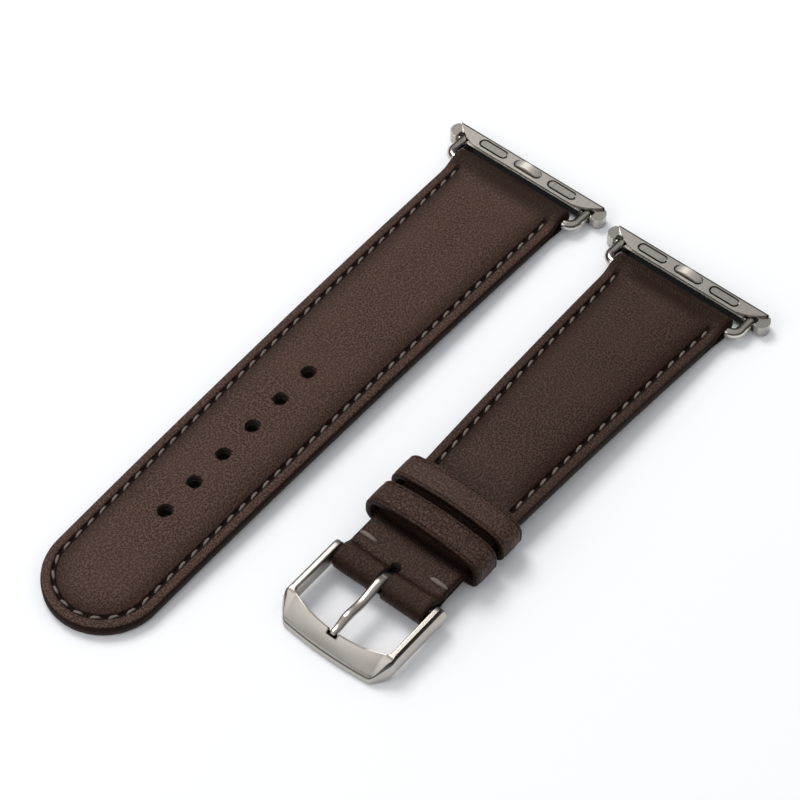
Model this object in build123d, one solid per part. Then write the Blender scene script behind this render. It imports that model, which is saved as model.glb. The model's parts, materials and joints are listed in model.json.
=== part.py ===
from build123d import *
import math
import os

# Two-piece padded leather watch strap, lying open on a table, outer face up.
# The tail half (with the holes) and the buckle half lie side by side.
# X runs across the two halves, Y along them towards the case connectors, Z up from the table.
# The origin is the middle of the footprint, on the table. All sizes are in millimetres.

# How the two halves lie
halves_gap = 2.2               # between the connectors of the two halves
buckle_half_lag = 1.5          # how far the buckle half lies behind the tail half

# Leather, both halves
lug_width = 23.0               # leather width at the connector
lug_underside = 0.4            # underside of the leather above the table, at the ring
outer_thickness = 1.3          # outer leather, at the edge
lining_thickness = 0.9
edge_margin = 2.0              # edge of the leather to the stitch line
thread_width = 0.6
thread_height = 0.45
channel_width = 0.9            # pressed channel that the stitches lie in
channel_depth = 0.35
stitch_pitch = 2.9
stitch_length = 2.1
stitch_seat_gap = 0.01
stitch_start = 3.3             # ring bar to the centre of the first stitch
padding_inset = 2.9            # edge of the leather to the edge of the padding
padding_start = 3.6            # ring bar to the near end of the padding
padding_ease = 7.0             # length over which the padding rises at its ends
turn_under = 6.0               # length of outer leather folded back under the strap

# Tail half
tail_length = 112.5            # ring bar to the tip
tail_width = 20.4              # where the rounded tip starts
tail_padding_rise = 0.9
tail_bow = 1.2                 # how far the middle stands up from the straight line
hole_count = 6
hole_pitch = 7.0
hole_diameter = 2.4
first_hole = 53.3              # ring bar to the nearest hole

# Buckle half
buckle_half_length = 75.3      # ring bar to spring bar
buckle_end_width = 18.0        # leather width at the spring bar
straight_end = 9.3             # spring bar to where the taper stops
short_padding_rise = 1.4
padding_to_keeper = 1.4        # far end of the padding to the free keeper
short_bow = 1.2
buckle_turn_under = 9.0
tongue_slot_gap = 0.3          # tongue to each side of its slot
tongue_slot_end_gap = 1.3      # tongue's eye to the round end of its slot
tack_from_bar = 4.7            # spring bar to the line of the tack stitches
tack_length = 3.6
tack_inset = 0.2               # tack end to the leather's edge
stitch_to_keeper = 3.9         # last stitch's centre to the free keeper

# Keepers
keeper_width = 5.0             # along the strap
keeper_wall = 1.1
keeper_side_gap = 1.2          # leather at the buckle to the inside of the keeper
keeper_spare_height = 1.4      # inside height at the sides, less the leather's thickness
keeper_crown = 1.2             # how much higher the inside is in the middle
keeper_corner = 0.9
fixed_keeper_from_bar = 11.5   # spring bar to the keeper's centre
keeper_gap = 1.4               # between the two keepers
free_keeper_seat_gap = 0.12    # strap to the keeper's lower run
fixed_keeper_seat_gap = 0.01

# Ring that joins leather and connector
ring_bar_diameter = 1.5
ring_bar_height = 1.9          # bar axis above the table
ring_arm_diameter = 1.8
ring_elbow_radius = 1.7        # centre line of the arm where it turns forward
ring_side_gap = 0.1            # leather to the arm
ring_to_pin = 4.4              # bar axis to the pin that the connector swings on
ring_pin_height = 1.5          # pin axis above the table
ring_pin_diameter = 0.8
ring_pin_engagement = 0.8      # how far the pin reaches into the connector each side

# Connector
connector_end = 3.1            # ring arm's centre to the connector's end
connector_near = 3.6           # bar axis to the connector's near side
connector_far = 6.8
connector_shoulder = 0.25      # how far the far side leans in, from mid-height to the top
connector_end_radius = 1.5     # rounding of the ends, in plan
connector_foot_radius = 0.9    # rounding under the near side
connector_flat = 1.4           # width of the flat that it rests on
deck_height = 2.9              # top of the deck above the table
deck_thickness = 0.5
deck_end_inset = 1.0           # connector's end to the deck's point
deck_near = 3.7
deck_far = 6.55
deck_straight = 21.0
deck_bulge_share = 0.32
socket_clearance = 0.3
pad_pitch = 7.35               # centre button to each pad
pad_length = 5.4
pad_width = 1.45
pad_depth = 0.8
pad_line = 5.15                # bar axis to the line of the pads and the button
pad_groove = 0.24              # gap round each pad
button_length = 5.1
button_width = 1.45
button_proud = 0.75
button_flange = 0.45           # how far the flange reaches past the opening, at its ends
button_flange_side = 0.3       # the same, at its sides
button_flange_thickness = 0.4
button_clearance = 0.06        # button's flange to its pocket
button_gap = 0.15              # button's head to the deck's opening
pocket_floor = 0.6             # above the table
latch_spring_diameter = 1.3
latch_spring_wire = 0.26
latch_spring_turns = 3
latch_spring_offset = 1.7      # button centre to each spring

# Spring bar
bar_height = 3.0               # spring bar axis above the table
tube_diameter = 1.8
tube_bore = 1.2
tube_end_gap = 0.6             # tube to each arm of the buckle
tip_diameter = 0.8
tip_shank_diameter = 1.1
tip_shank_length = 3.0
tip_travel = 0.9
tip_reach = 0.8                # how far a tip reaches into the buckle's arm
bar_spring_wire = 0.3
bar_spring_turns = 12

# Buckle frame
frame_side_gap = 0.3           # leather to each arm
arm_thickness = 1.8
arm_height = 3.1
arm_back = 1.75                # arm end, behind the spring bar
arm_edge = 0.35                # rounding of the arms' top edges
frame_front = 15.2             # spring bar to the front edge
frame_corner_length = 3.6      # each cut corner, along the strap
frame_corner_cut = 2.5         # each cut corner, across the strap
frame_corner_rounding = 0.8
front_bulge = 0.45             # how far the front edge curves forward
plate_width_side = 4.9         # front plate, at its ends
plate_width_middle = 3.1
plate_crown = 0.35             # how far the plate bulges over a straight slope
front_lip = 1.3                # height of the front edge
front_foot = 2.6               # width that rests on the table
window_corner = 0.8
notch_gap = 0.15               # tongue to each side of the notch
notch_depth = 0.9              # along the strap
notch_height = 1.25            # down from the arm tops

# Tongue
tongue_width = 2.0
tongue_thickness = 1.3
tongue_tip_thickness = 0.9
tongue_eye_diameter = 4.8
tongue_seat_gap = 0.06         # tongue to the floor of the notch
tongue_end_gap = 0.2           # tongue to the end of the notch
tongue_along_shares = (0, 0.18, 0.34, 0.62, 0.76, 0.88, 1)
tongue_height_shares = (1, 1.2, 1.02, 0.84, 0.7, 0.16, 0)

# Running fits and springs
wire_sides = 8
turning_clearance = 0.04
overrun = 2.0                  # how far cutting tools run past what they cut

# Worked out from the sizes above
edge_thickness = outer_thickness + lining_thickness
ring_roll_radius = ring_bar_height
ring_arm_centre = lug_width / 2 + ring_side_gap + ring_elbow_radius
connector_length = 2 * (ring_arm_centre + connector_end)
half_spacing = connector_length + halves_gap
connector_top = deck_height - deck_thickness
buckle_roll_radius = tube_diameter / 2 + turning_clearance + outer_thickness
tongue_slot_width = tongue_width + 2 * tongue_slot_gap
tongue_slot_back = tongue_eye_diameter / 2 + tongue_slot_end_gap
tail_tip_radius = tail_width / 2
tail_tip_start = tail_length - tail_tip_radius
taper_end = buckle_half_length - straight_end
fixed_keeper_at = buckle_half_length - fixed_keeper_from_bar
free_keeper_at = fixed_keeper_at - keeper_width - keeper_gap
free_keeper_near = free_keeper_at - keeper_width / 2
short_padding_end = free_keeper_near - padding_to_keeper
last_short_stitch = free_keeper_near - stitch_to_keeper
frame_inside = buckle_end_width + 2 * frame_side_gap
tube_length = frame_inside - 2 * tube_end_gap
bar_to_origin = (tail_length - connector_far) / 2


class Bow:
    """The gentle arch of one half, seen from the side: a circle through both ends of its underside."""

    def __init__(self, length, near_height, far_height, rise):
        self.near_height = near_height
        self.far_height = far_height
        self.rise = rise
        chord = math.hypot(length, far_height - near_height)
        self.radius = (chord ** 2 / 4 + rise ** 2) / (2 * rise)
        slope = math.atan2(near_height - far_height, length)
        drop = self.radius - rise
        self.y = -length / 2 + drop * math.sin(slope)
        self.z = (near_height + far_height) / 2 - drop * math.cos(slope)
        self.length = length

    def height(self, y, above=0):
        """Height over the table of the point at y that lies above the underside."""
        radius = self.radius + above
        return self.z + math.sqrt(radius ** 2 - (y - self.y) ** 2)

    def tilt(self, y):
        """Slope of the half at y, in degrees."""
        return -math.degrees(math.asin((y - self.y) / self.radius))

    def sweep_section(self, section):
        """A cross-section, drawn in X and height above the underside, carried along the arch."""
        reach = self.length / 2 + abs(self.y + self.length / 2) + overrun * 4
        angle = 2 * math.degrees(math.asin(reach / self.radius))
        axis = Axis((0, self.y, self.z), (1, 0, 0))
        upright = Plane(origin=(0, self.y, self.z + self.radius), x_dir=(1, 0, 0), z_dir=(0, -1, 0))
        face = upright * section
        return revolve(face.rotate(axis, -angle / 2), axis, angle)

    def slab(self, low, high):
        """A layer of even thickness between two heights above the underside."""
        section = Pos(0, (low + high) / 2) * Rectangle(lug_width + overrun, high - low)
        return self.sweep_section(section)


tail_bow_shape = Bow(tail_length, lug_underside, 0, tail_bow)
short_bow_shape = Bow(buckle_half_length, lug_underside, bar_height - edge_thickness / 2, short_bow)


def prism(outline, low=-overrun, high=overrun * 8):
    """An outline in plan, stretched upwards."""
    return extrude(Pos(0, 0, low) * outline, high - low)


def band(y_low, y_high):
    """Everything between two places along the strap."""
    return prism(Pos(0, (y_low + y_high) / 2) * Rectangle(lug_width * 2, y_high - y_low))


def beyond(bow, y, towards):
    """Everything on one side of the section that stands square to the arch at y."""
    size = bow.length * 2
    at = Pos(0, y, bow.height(y)) * Rot(bow.tilt(y), 0, 0)
    return at * Pos(0, towards * size / 2, 0) * Box(size, size, size)


def across(y, z, radius, length):
    """A cylinder that lies across the strap."""
    return Pos(0, y, z) * Rot(0, 90, 0) * Cylinder(radius, length)


def crown(bow, base, rise, near_side, far_side):
    """A ridge with a round top that stands on the strap, and the line along its crest.

    It meets the height base at near_side from the middle at the ring, and at far_side at the far end.
    """
    round_radius = (near_side ** 2 + rise ** 2) / (2 * rise)
    far_rise = round_radius - math.sqrt(round_radius ** 2 - far_side ** 2)
    crest = Bow(bow.length, bow.near_height + base + rise, bow.far_height + base + far_rise, bow.rise)
    foot = -rise - base
    arc = ThreePointArc((near_side, -rise), (0, 0), (-near_side, -rise))
    lines = Polyline((-near_side, -rise), (-near_side, foot), (near_side, foot), (near_side, -rise))
    return crest.sweep_section(make_face(arc + lines)), crest, round_radius


def ease_off(bow, crest, base, top, end, towards):
    """What is taken off a ridge between top and end, so that it rounds down to the strap."""
    length = abs(top - end)
    drop = crest.height(top) - bow.height(top, base)
    radius = (length ** 2 + drop ** 2) / (2 * drop)
    beyond = end + towards * length
    keep = across(top, crest.height(top) - radius, radius, lug_width * 2)
    return band(min(top, beyond), max(top, beyond)) - keep


def tail_outline(inset=0):
    """The tail half in plan, from the ring bar to its round tip."""
    half_lug = lug_width / 2 - inset
    half_tip = tail_tip_radius - inset
    tip_start = -tail_tip_start
    lines = Polyline((-half_tip, tip_start), (-half_lug, 0), (half_lug, 0), (half_tip, tip_start))
    tip = ThreePointArc((half_tip, tip_start), (0, tip_start - half_tip), (-half_tip, tip_start))
    return make_face(lines + tip)


def tail_half_width(y):
    """Half the width of the tail half, at y."""
    return lug_width / 2 + (lug_width - tail_width) / 2 * y / tail_tip_start


def short_half_width(y):
    """Half the width of the buckle half, at y."""
    return lug_width / 2 + (lug_width - buckle_end_width) / 2 * max(y, -taper_end) / taper_end


def short_outline(inset=0):
    """The buckle half in plan, from the ring bar to the spring bar."""
    half_lug = lug_width / 2 - inset
    half_end = buckle_end_width / 2 - inset
    corners = [(-half_lug, 0), (half_lug, 0), (half_end, -taper_end), (half_end, -buckle_half_length)]
    corners += [(-half_end, -buckle_half_length), (-half_end, -taper_end)]
    return make_face(Polyline(*corners, close=True))


def stitch(bow, x, y, turn, length=stitch_length):
    """One stitch, lying in the channel. turn is its direction in plan, from the Y axis."""
    seat = edge_thickness - channel_depth + stitch_seat_gap
    at = Pos(x, y, bow.height(y, seat)) * Rot(bow.tilt(y), 0, 0) * Rot(0, 0, turn)
    return at * extrude(SlotOverall(length, thread_width, rotation=90), thread_height)


def side_stitches(bow, half_width_at, count, step):
    """Two straight rows of stitches, one along each edge."""
    rows = []
    for number in range(count):
        y = -stitch_start - number * step
        half = half_width_at(y) - edge_margin
        slope = math.degrees(math.atan2(half_width_at(y) - half_width_at(y - step), step))
        rows += [stitch(bow, side * half, y, -side * slope) for side in (-1, 1)]
    return rows


def channel(bow, outline_at, y_low, y_high):
    """The pressed channel along the stitch line."""
    outer = prism(outline_at(edge_margin - channel_width / 2))
    inner = prism(outline_at(edge_margin + channel_width / 2))
    ring = (outer - inner) & band(y_low, y_high)
    return ring & bow.slab(edge_thickness - channel_depth, edge_thickness + overrun)


def tail_pillow(base):
    """The ridge of the tail half, with a domed end at the tip."""
    bow = tail_bow_shape
    tip_side = tail_tip_radius - padding_inset
    ridge, crest, radius = crown(bow, base, tail_padding_rise, lug_width / 2 - padding_inset, tip_side)
    tip = -tail_tip_start
    tilt = math.radians(crest.tilt(tip))
    ball = Pos(0, tip + radius * math.sin(tilt), crest.height(tip) - radius * math.cos(tilt)) * Sphere(radius)
    dome = ball & prism(Pos(0, tip) * Circle(tail_tip_radius - edge_margin)) & beyond(crest, tip, -1)
    ridge = ridge & beyond(crest, tip, 1) & band(-tail_length, -padding_start)
    ease = ease_off(bow, crest, base, -padding_start - padding_ease, -padding_start, 1)
    return ridge - ease + dome


def short_pillow(base):
    """The ridge of the buckle half."""
    bow = short_bow_shape
    far_side = buckle_end_width / 2 - padding_inset
    ridge, crest, _ = crown(bow, base, short_padding_rise, lug_width / 2 - padding_inset, far_side)
    near_ease = ease_off(bow, crest, base, -padding_start - padding_ease, -padding_start, 1)
    far_ease = ease_off(bow, crest, base, padding_ease - short_padding_end, -short_padding_end, -1)
    return (ridge & band(-short_padding_end, -padding_start)) - near_ease - far_ease


def padding(bow, pillow_at):
    """The filler between the lining and the outer leather."""
    above_lining = bow.slab(lining_thickness, edge_thickness * 3)
    return pillow_at(lining_thickness) & above_lining


def top_skin(bow, outline_at, pillow_at):
    """The outer leather over the padding, filled down to the lining."""
    flat = bow.slab(lining_thickness, edge_thickness) & prism(outline_at())
    above_lining = bow.slab(lining_thickness, edge_thickness * 3)
    return flat + (pillow_at(edge_thickness) & above_lining)


def ring_roll():
    """The fold of outer leather round the ring bar."""
    return across(0, ring_bar_height, ring_roll_radius, lug_width)


def ring_bore():
    return across(0, ring_bar_height, ring_bar_diameter / 2 + turning_clearance, lug_width * 2)


def tail_holes():
    holes = []
    for number in range(hole_count):
        y = -first_hole - number * hole_pitch
        drill = Cylinder(hole_diameter / 2, edge_thickness * 6)
        holes.append(Pos(0, y, tail_bow_shape.height(y)) * Rot(tail_bow_shape.tilt(y), 0, 0) * drill)
    return holes


def tail_leather():
    """Outer leather, padding and lining of the tail half."""
    bow = tail_bow_shape
    filler = padding(bow, tail_pillow)
    outer = top_skin(bow, tail_outline, tail_pillow)
    fold = bow.slab(0, lining_thickness) & prism(tail_outline()) & band(-turn_under, 0)
    outer = outer + fold + ring_roll() - filler - ring_bore()
    outer = outer - channel(bow, tail_outline, -tail_length, -stitch_start + stitch_pitch / 2)
    lining = bow.slab(0, lining_thickness) & prism(tail_outline()) & band(-tail_length, -turn_under)
    holes = tail_holes()
    return outer - holes, filler - holes, lining - holes


def tail_stitching():
    """The row of stitches round the tail half."""
    bow = tail_bow_shape
    count = int((tail_tip_start - stitch_start) / stitch_pitch) + 1
    step = (tail_tip_start - stitch_start) / count
    stitches = side_stitches(bow, tail_half_width, count, step)
    radius = tail_tip_radius - edge_margin
    steps = round(math.pi * radius / stitch_pitch)
    for number in range(steps + 1):
        turn = math.pi * number / steps
        x = radius * math.cos(turn)
        y = -tail_tip_start - radius * math.sin(turn)
        stitches.append(stitch(bow, x, y, -math.degrees(turn)))
    return stitches


def buckle_half_leather():
    """Outer leather, padding and lining of the buckle half."""
    bow = short_bow_shape
    filler = padding(bow, short_pillow)
    outer = top_skin(bow, short_outline, short_pillow)
    fold = bow.slab(0, lining_thickness) & prism(short_outline()) & band(-turn_under, 0)
    far_fold = bow.slab(0, lining_thickness) & prism(short_outline())
    far_fold = far_fold & band(-buckle_half_length, -buckle_half_length + buckle_turn_under)
    roll = across(-buckle_half_length, bar_height, buckle_roll_radius, buckle_end_width)
    bore = across(-buckle_half_length, bar_height, tube_diameter / 2 + turning_clearance, lug_width)
    slot_front = -buckle_half_length - buckle_roll_radius - overrun
    slot_back = -buckle_half_length + tongue_slot_back
    slot_plan = Pos(0, (slot_front + slot_back) / 2) * SlotOverall(
        slot_back - slot_front, tongue_slot_width, rotation=90)
    outer = outer + fold + far_fold + ring_roll() + roll
    outer = outer - filler - ring_bore() - bore - prism(slot_plan)
    outer = outer - channel(bow, short_outline, -last_short_stitch - stitch_pitch / 2,
                            -stitch_start + stitch_pitch / 2)
    outer = outer - tack_channels()
    lining = bow.slab(0, lining_thickness) & prism(short_outline())
    lining = lining & band(-buckle_half_length + buckle_turn_under, -turn_under)
    return outer, filler, lining


def tack_places():
    """Centre of each tack stitch near the buckle."""
    y = -buckle_half_length + tack_from_bar
    x = short_half_width(y) - tack_inset - tack_length / 2
    return [(-x, y), (x, y)]


def tack_channels():
    bow = short_bow_shape
    plan = [Pos(x, y) * SlotOverall(tack_length + channel_width - thread_width, channel_width)
            for x, y in tack_places()]
    cut = bow.slab(edge_thickness - channel_depth, edge_thickness + overrun)
    return [prism(shape) & cut for shape in plan]


def buckle_half_stitching():
    """The two rows of stitches of the buckle half, and its tack stitches."""
    bow = short_bow_shape
    count = int((last_short_stitch - stitch_start) / stitch_pitch) + 1
    step = (last_short_stitch - stitch_start) / (count - 1)
    stitches = side_stitches(bow, short_half_width, count, step)
    stitches += [stitch(bow, x, y, 90, tack_length) for x, y in tack_places()]
    return stitches


def keeper_section(grow):
    """Inside of a keeper, seen along the strap, or its outside when grown by the wall."""
    side = buckle_end_width / 2 + keeper_side_gap + grow
    shoulder = edge_thickness + keeper_spare_height + grow / 2
    middle = edge_thickness + keeper_spare_height + keeper_crown + grow
    lines = Polyline((-side, shoulder), (-side, -grow), (side, -grow), (side, shoulder))
    arc = ThreePointArc((side, shoulder), (0, middle), (-side, shoulder))
    face = make_face(lines + arc)
    return fillet(face.vertices(), keeper_corner + grow)


def keeper(distance, seat_gap):
    """A leather loop round the strap."""
    y = -distance
    bow = short_bow_shape
    lowest = min(bow.height(y - keeper_width / 2), bow.height(y + keeper_width / 2))
    loop = keeper_section(keeper_wall) - keeper_section(0)
    upright = Plane(origin=(0, y, lowest - seat_gap), x_dir=(1, 0, 0), z_dir=(0, -1, 0))
    return extrude(upright * loop, keeper_width / 2, both=True)


def ring_arm(side):
    """The round arm on one side: out of the bar, round the elbow and forward to the pin."""
    radius = ring_arm_diameter / 2
    start = side * (ring_arm_centre - ring_elbow_radius)
    x = side * ring_arm_centre
    reach = math.hypot(ring_to_pin, ring_pin_height - ring_bar_height)
    section = Plane(origin=(start, 0, 0), z_dir=(side, 0, 0)) * Circle(radius)
    elbow = revolve(section, Axis((start, ring_elbow_radius, 0), (0, 0, side)), 90)
    forward = Pos(x, (ring_elbow_radius + reach) / 2, 0) * Rot(90, 0, 0) * Cylinder(
        radius, reach - ring_elbow_radius)
    end = Pos(x, reach, 0) * Sphere(radius)
    drop = math.degrees(math.atan2(ring_pin_height - ring_bar_height, ring_to_pin))
    return Pos(0, 0, ring_bar_height) * Rot(drop, 0, 0) * (elbow + forward + end)


def ring():
    """The bar through the leather, and its two arms that hook round into the connector."""
    bar = across(0, ring_bar_height, ring_bar_diameter / 2, 2 * (ring_arm_centre - ring_elbow_radius))
    eye = across(ring_to_pin, ring_pin_height, ring_pin_diameter / 2 + turning_clearance, lug_width * 2)
    return bar + ring_arm(-1) + ring_arm(1) - eye


def connector_plan():
    """The connector in plan: a bar with rounded ends."""
    depth = connector_far - connector_near
    return Pos(0, connector_near + depth / 2) * RectangleRounded(connector_length, depth, connector_end_radius)


def connector_section():
    """The connector seen from its end: upright near side, rounded far side, and a flat that it stands on."""
    far_foot = connector_near + connector_foot_radius + connector_flat
    far_top = connector_far - connector_shoulder
    lines = Polyline((far_top, connector_top), (connector_near, connector_top), (connector_near, 0), (far_foot, 0))
    far = ThreePointArc((far_foot, 0), (connector_far, connector_top / 2), (far_top, connector_top))
    face = make_face(lines + far)
    face = fillet(face.vertices().sort_by_distance((connector_near, 0, 0))[0], connector_foot_radius)
    return extrude(Plane.YZ * face, connector_length, both=True)


def capsule(length, width, low, high, x=0):
    """An upright block with round ends, on the line of the pads."""
    return extrude(Pos(x, pad_line, low) * SlotOverall(length, width), high - low)


def latch_pocket():
    """Hollow in the connector that holds the latch button's flange and springs."""
    length = button_length + 2 * (button_flange + button_clearance)
    width = button_width + 2 * (button_flange_side + button_clearance)
    return capsule(length, width, pocket_floor, connector_top)


def pads(grow=0):
    """The two pads beside the button, or their recesses when grown."""
    low = deck_height - pad_depth
    return [capsule(pad_length + 2 * grow, pad_width + 2 * grow, low, deck_height, side * pad_pitch)
            for side in (-1, 1)]


def ring_sockets():
    """The round-ended hollows that the ring's arms swing in."""
    half_high = ring_arm_diameter / 2 + socket_clearance
    plan = Pos(0, ring_to_pin / 2) * Rectangle(2 * half_high, ring_to_pin)
    mouth = extrude(Pos(0, 0, ring_pin_height - half_high) * plan, 2 * half_high)
    end = across(ring_to_pin, ring_pin_height, half_high, 2 * half_high)
    return [Pos(side * ring_arm_centre, 0, 0) * (mouth + end) for side in (-1, 1)]


def ring_pins():
    """The two short pins that the ring's arms turn on."""
    length = ring_arm_diameter + 2 * (socket_clearance + ring_pin_engagement)
    pin = across(ring_to_pin, ring_pin_height, ring_pin_diameter / 2, length)
    return [Pos(side * ring_arm_centre, 0, 0) * pin for side in (-1, 1)]


def connector_body():
    """The connector's body, with its pocket, pad seats and ring sockets."""
    body = connector_section() & prism(connector_plan())
    return body - ring_sockets() - latch_pocket() - pads() - ring_pins()


def deck_plan():
    """The deck in plan: straight far side, near side curving to a point at both ends."""
    half = connector_length / 2 - deck_end_inset
    turn = deck_straight / 2
    bulge = deck_near + (deck_far - deck_near) * deck_bulge_share
    far = Line((half, deck_far), (-half, deck_far))
    left = ThreePointArc((-half, deck_far), (-(half + turn) / 2, bulge), (-turn, deck_near))
    near = Line((-turn, deck_near), (turn, deck_near))
    right = ThreePointArc((turn, deck_near), ((half + turn) / 2, bulge), (half, deck_far))
    return make_face(far + left + near + right)


def connector_deck():
    """The flat plate on top, with openings for the button and the two pads."""
    plate = prism(deck_plan(), connector_top, deck_height)
    opening = capsule(button_length + 2 * button_gap, button_width + 2 * button_gap,
                      connector_top - overrun, deck_height + overrun)
    return plate - opening - pads(pad_groove)


def latch_button():
    """The sprung button: a crowned head through the deck, and a flange below it."""
    flange_top = connector_top - button_clearance
    flange_low = flange_top - button_flange_thickness
    crest = deck_height + button_proud
    crown_radius = (button_length ** 2 / 4 + button_proud ** 2) / (2 * button_proud)
    dome = Pos(0, pad_line, crest - crown_radius) * Rot(90, 0, 0) * Cylinder(crown_radius, button_width * 2)
    head = capsule(button_length, button_width, flange_low, crest) & dome
    flange = capsule(button_length + 2 * button_flange, button_width + 2 * button_flange_side,
                     flange_low, flange_top)
    return head + flange


def coil(length, radius, wire, turns):
    """A coil spring of eight-sided wire that stands on the origin."""
    path = Helix(pitch=(length - wire) / turns, height=length - wire, radius=radius)
    section = Plane(path @ 0, z_dir=path % 0) * RegularPolygon(wire / 2, wire_sides)
    return Pos(0, 0, wire / 2) * sweep(section, path, is_frenet=True)


def latch_springs():
    """The two small coil springs under the button."""
    height = connector_top - button_clearance - button_flange_thickness - pocket_floor
    radius = (latch_spring_diameter - latch_spring_wire) / 2
    spring = coil(height, radius, latch_spring_wire, latch_spring_turns)
    return [Pos(side * latch_spring_offset, pad_line, pocket_floor) * spring for side in (-1, 1)]


def bar_place(shape):
    """Something drawn round the origin, moved onto the spring bar's axis."""
    return Pos(0, -buckle_half_length, bar_height) * shape


def bar_piece(radius, length, x=0):
    """A round piece on the spring bar's axis, drawn round the origin."""
    return Pos(x, 0, 0) * Rot(0, 90, 0) * Cylinder(radius, length)


def spring_bar_tube():
    """The tube of the spring bar."""
    return bar_place(bar_piece(tube_diameter / 2, tube_length) - bar_piece(tube_bore / 2, tube_length + overrun))


def spring_bar_tip(side):
    """One sprung end of the bar: a shank inside the tube and a thin tip into the buckle's arm."""
    shank_end = tube_length / 2
    reach = frame_inside / 2 + tip_reach
    shank = bar_piece(tip_shank_diameter / 2, tip_shank_length, shank_end - tip_shank_length / 2)
    tip = bar_piece(tip_diameter / 2, reach - shank_end, (shank_end + reach) / 2)
    piece = shank + tip
    if side < 0:
        piece = mirror(piece, Plane.YZ)
    return bar_place(piece)


def spring_bar_spring():
    """The coil spring between the two tips, as long as when both are pressed in."""
    length = tube_length - 2 * (tip_shank_length + tip_travel) - 2 * turning_clearance
    radius = (tube_bore - bar_spring_wire) / 2 - turning_clearance
    spring = coil(length, radius, bar_spring_wire, bar_spring_turns)
    return bar_place(Rot(0, 90, 0) * Pos(0, 0, -length / 2) * spring)


def frame_plan():
    """The buckle frame in plan, without its window."""
    side = frame_inside / 2 + arm_thickness
    corner = side - frame_corner_cut
    corner_side = frame_corner_length - frame_front
    corner_front = front_bulge - frame_front
    left = Polyline((-side, arm_back), (-side, corner_side), (-corner, corner_front))
    front = ThreePointArc((-corner, corner_front), (0, -frame_front), (corner, corner_front))
    right = Polyline((corner, corner_front), (side, corner_side), (side, arm_back), (-side, arm_back))
    plan = make_face(left + front + right)
    rounded = plan.vertices().group_by(Axis.Y)[0] + plan.vertices().group_by(Axis.Y)[1]
    return fillet(rounded, frame_corner_rounding)


def frame_window():
    """The opening between the arms."""
    half = frame_inside / 2
    side_front = plate_width_side - frame_front
    middle_front = plate_width_middle - frame_front
    back = arm_back + overrun
    lines = Polyline((half, side_front), (half, back), (-half, back), (-half, side_front))
    front = ThreePointArc((-half, side_front), (0, middle_front), (half, side_front))
    face = make_face(lines + front)
    return fillet(face.vertices().group_by(Axis.Y)[0], window_corner)


def frame_side():
    """The buckle frame seen from the side, about the spring bar: round arm ends and a sloping front."""
    half_arm = arm_height / 2
    back = arm_back - half_arm
    toe = front_foot - frame_front
    slope_top = plate_width_side - frame_front - front_lip / 2
    lines = Polyline((back, -half_arm), (toe + bar_height - half_arm, -half_arm), (toe, -bar_height),
                     (-frame_front, -bar_height), (-frame_front, front_lip - bar_height))
    slope_middle = (slope_top - frame_front) / 2
    slope_height = (half_arm + front_lip - bar_height) / 2
    plate = ThreePointArc((-frame_front, front_lip - bar_height),
                          (slope_middle - plate_crown, slope_height + plate_crown), (slope_top, half_arm))
    top = Line((slope_top, half_arm), (back, half_arm))
    end = ThreePointArc((back, half_arm), (arm_back, 0), (back, -half_arm))
    return make_face(lines + plate + top + end)


def buckle_frame():
    """The steel frame of the buckle, with its tongue notch and the holes for the spring bar."""
    half_arm = arm_height / 2
    body = prism(frame_plan(), -bar_height, half_arm)
    body = body & extrude(Plane.YZ * frame_side(), frame_inside, both=True)
    body = body - prism(frame_window(), -bar_height - overrun, half_arm + overrun)
    top_edges = body.edges().group_by(Axis.Z)[-1]
    body = fillet(top_edges, arm_edge)
    notch_width = tongue_width + 2 * notch_gap
    notch_end = plate_width_middle - frame_front - notch_depth
    notch_plan = Pos(0, notch_end + notch_width / 2) * Rectangle(notch_width, notch_width)
    notch = prism(notch_plan, half_arm - notch_height, half_arm + overrun)
    bore = bar_piece(tip_diameter / 2 + turning_clearance, frame_inside + 2 * (tip_reach + turning_clearance))
    return bar_place(body - notch - bore)


def beside(path, distance, far_distance, steps=24):
    """Points beside a path, at a distance that changes evenly along it."""
    points = []
    for number in range(steps + 1):
        share = number / steps
        at = path @ share
        along = path % share
        away = distance + (far_distance - distance) * share
        points.append((at.X - along.Y * away, at.Y + along.X * away))
    return points


def buckle_tongue():
    """The tongue: an eye round the spring bar, and a blade that arches over to the notch in the frame."""
    seat = arm_height / 2 - notch_height + tongue_seat_gap + tongue_tip_thickness / 2
    crest = (tongue_eye_diameter - tongue_thickness) / 2
    reach = frame_front - plate_width_middle + notch_depth - tongue_end_gap
    line = [(-reach * along, seat + (crest - seat) * height)
            for along, height in zip(tongue_along_shares, tongue_height_shares)]
    path = Spline(*line)
    upper = beside(path, -tongue_thickness / 2, -tongue_tip_thickness / 2)
    lower = beside(path, tongue_thickness / 2, tongue_tip_thickness / 2)
    side = make_face(Spline(*upper) + Line(upper[-1], lower[-1]) + Spline(*lower[::-1]) + Line(lower[0], upper[0]))
    blade = extrude(Plane.YZ * side, tongue_width / 2, both=True)
    eye = bar_piece(tongue_eye_diameter / 2, tongue_width)
    bore = bar_piece(tube_diameter / 2 + turning_clearance, tongue_width + overrun)
    return bar_place(eye + blade - bore)


def save(name, pieces, half):
    """Write one node, moved from its half's own frame to where the half lies."""
    if half == "tail":
        place = Pos(-half_spacing / 2, bar_to_origin, 0)
    else:
        place = Pos(half_spacing / 2, bar_to_origin - buckle_half_lag, 0)
    if not isinstance(pieces, list):
        pieces = [pieces]
    solids = [place * solid for piece in pieces for solid in piece.solids()]
    export_step(Compound(children=solids), os.path.join("parts", name + ".step"))


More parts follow.
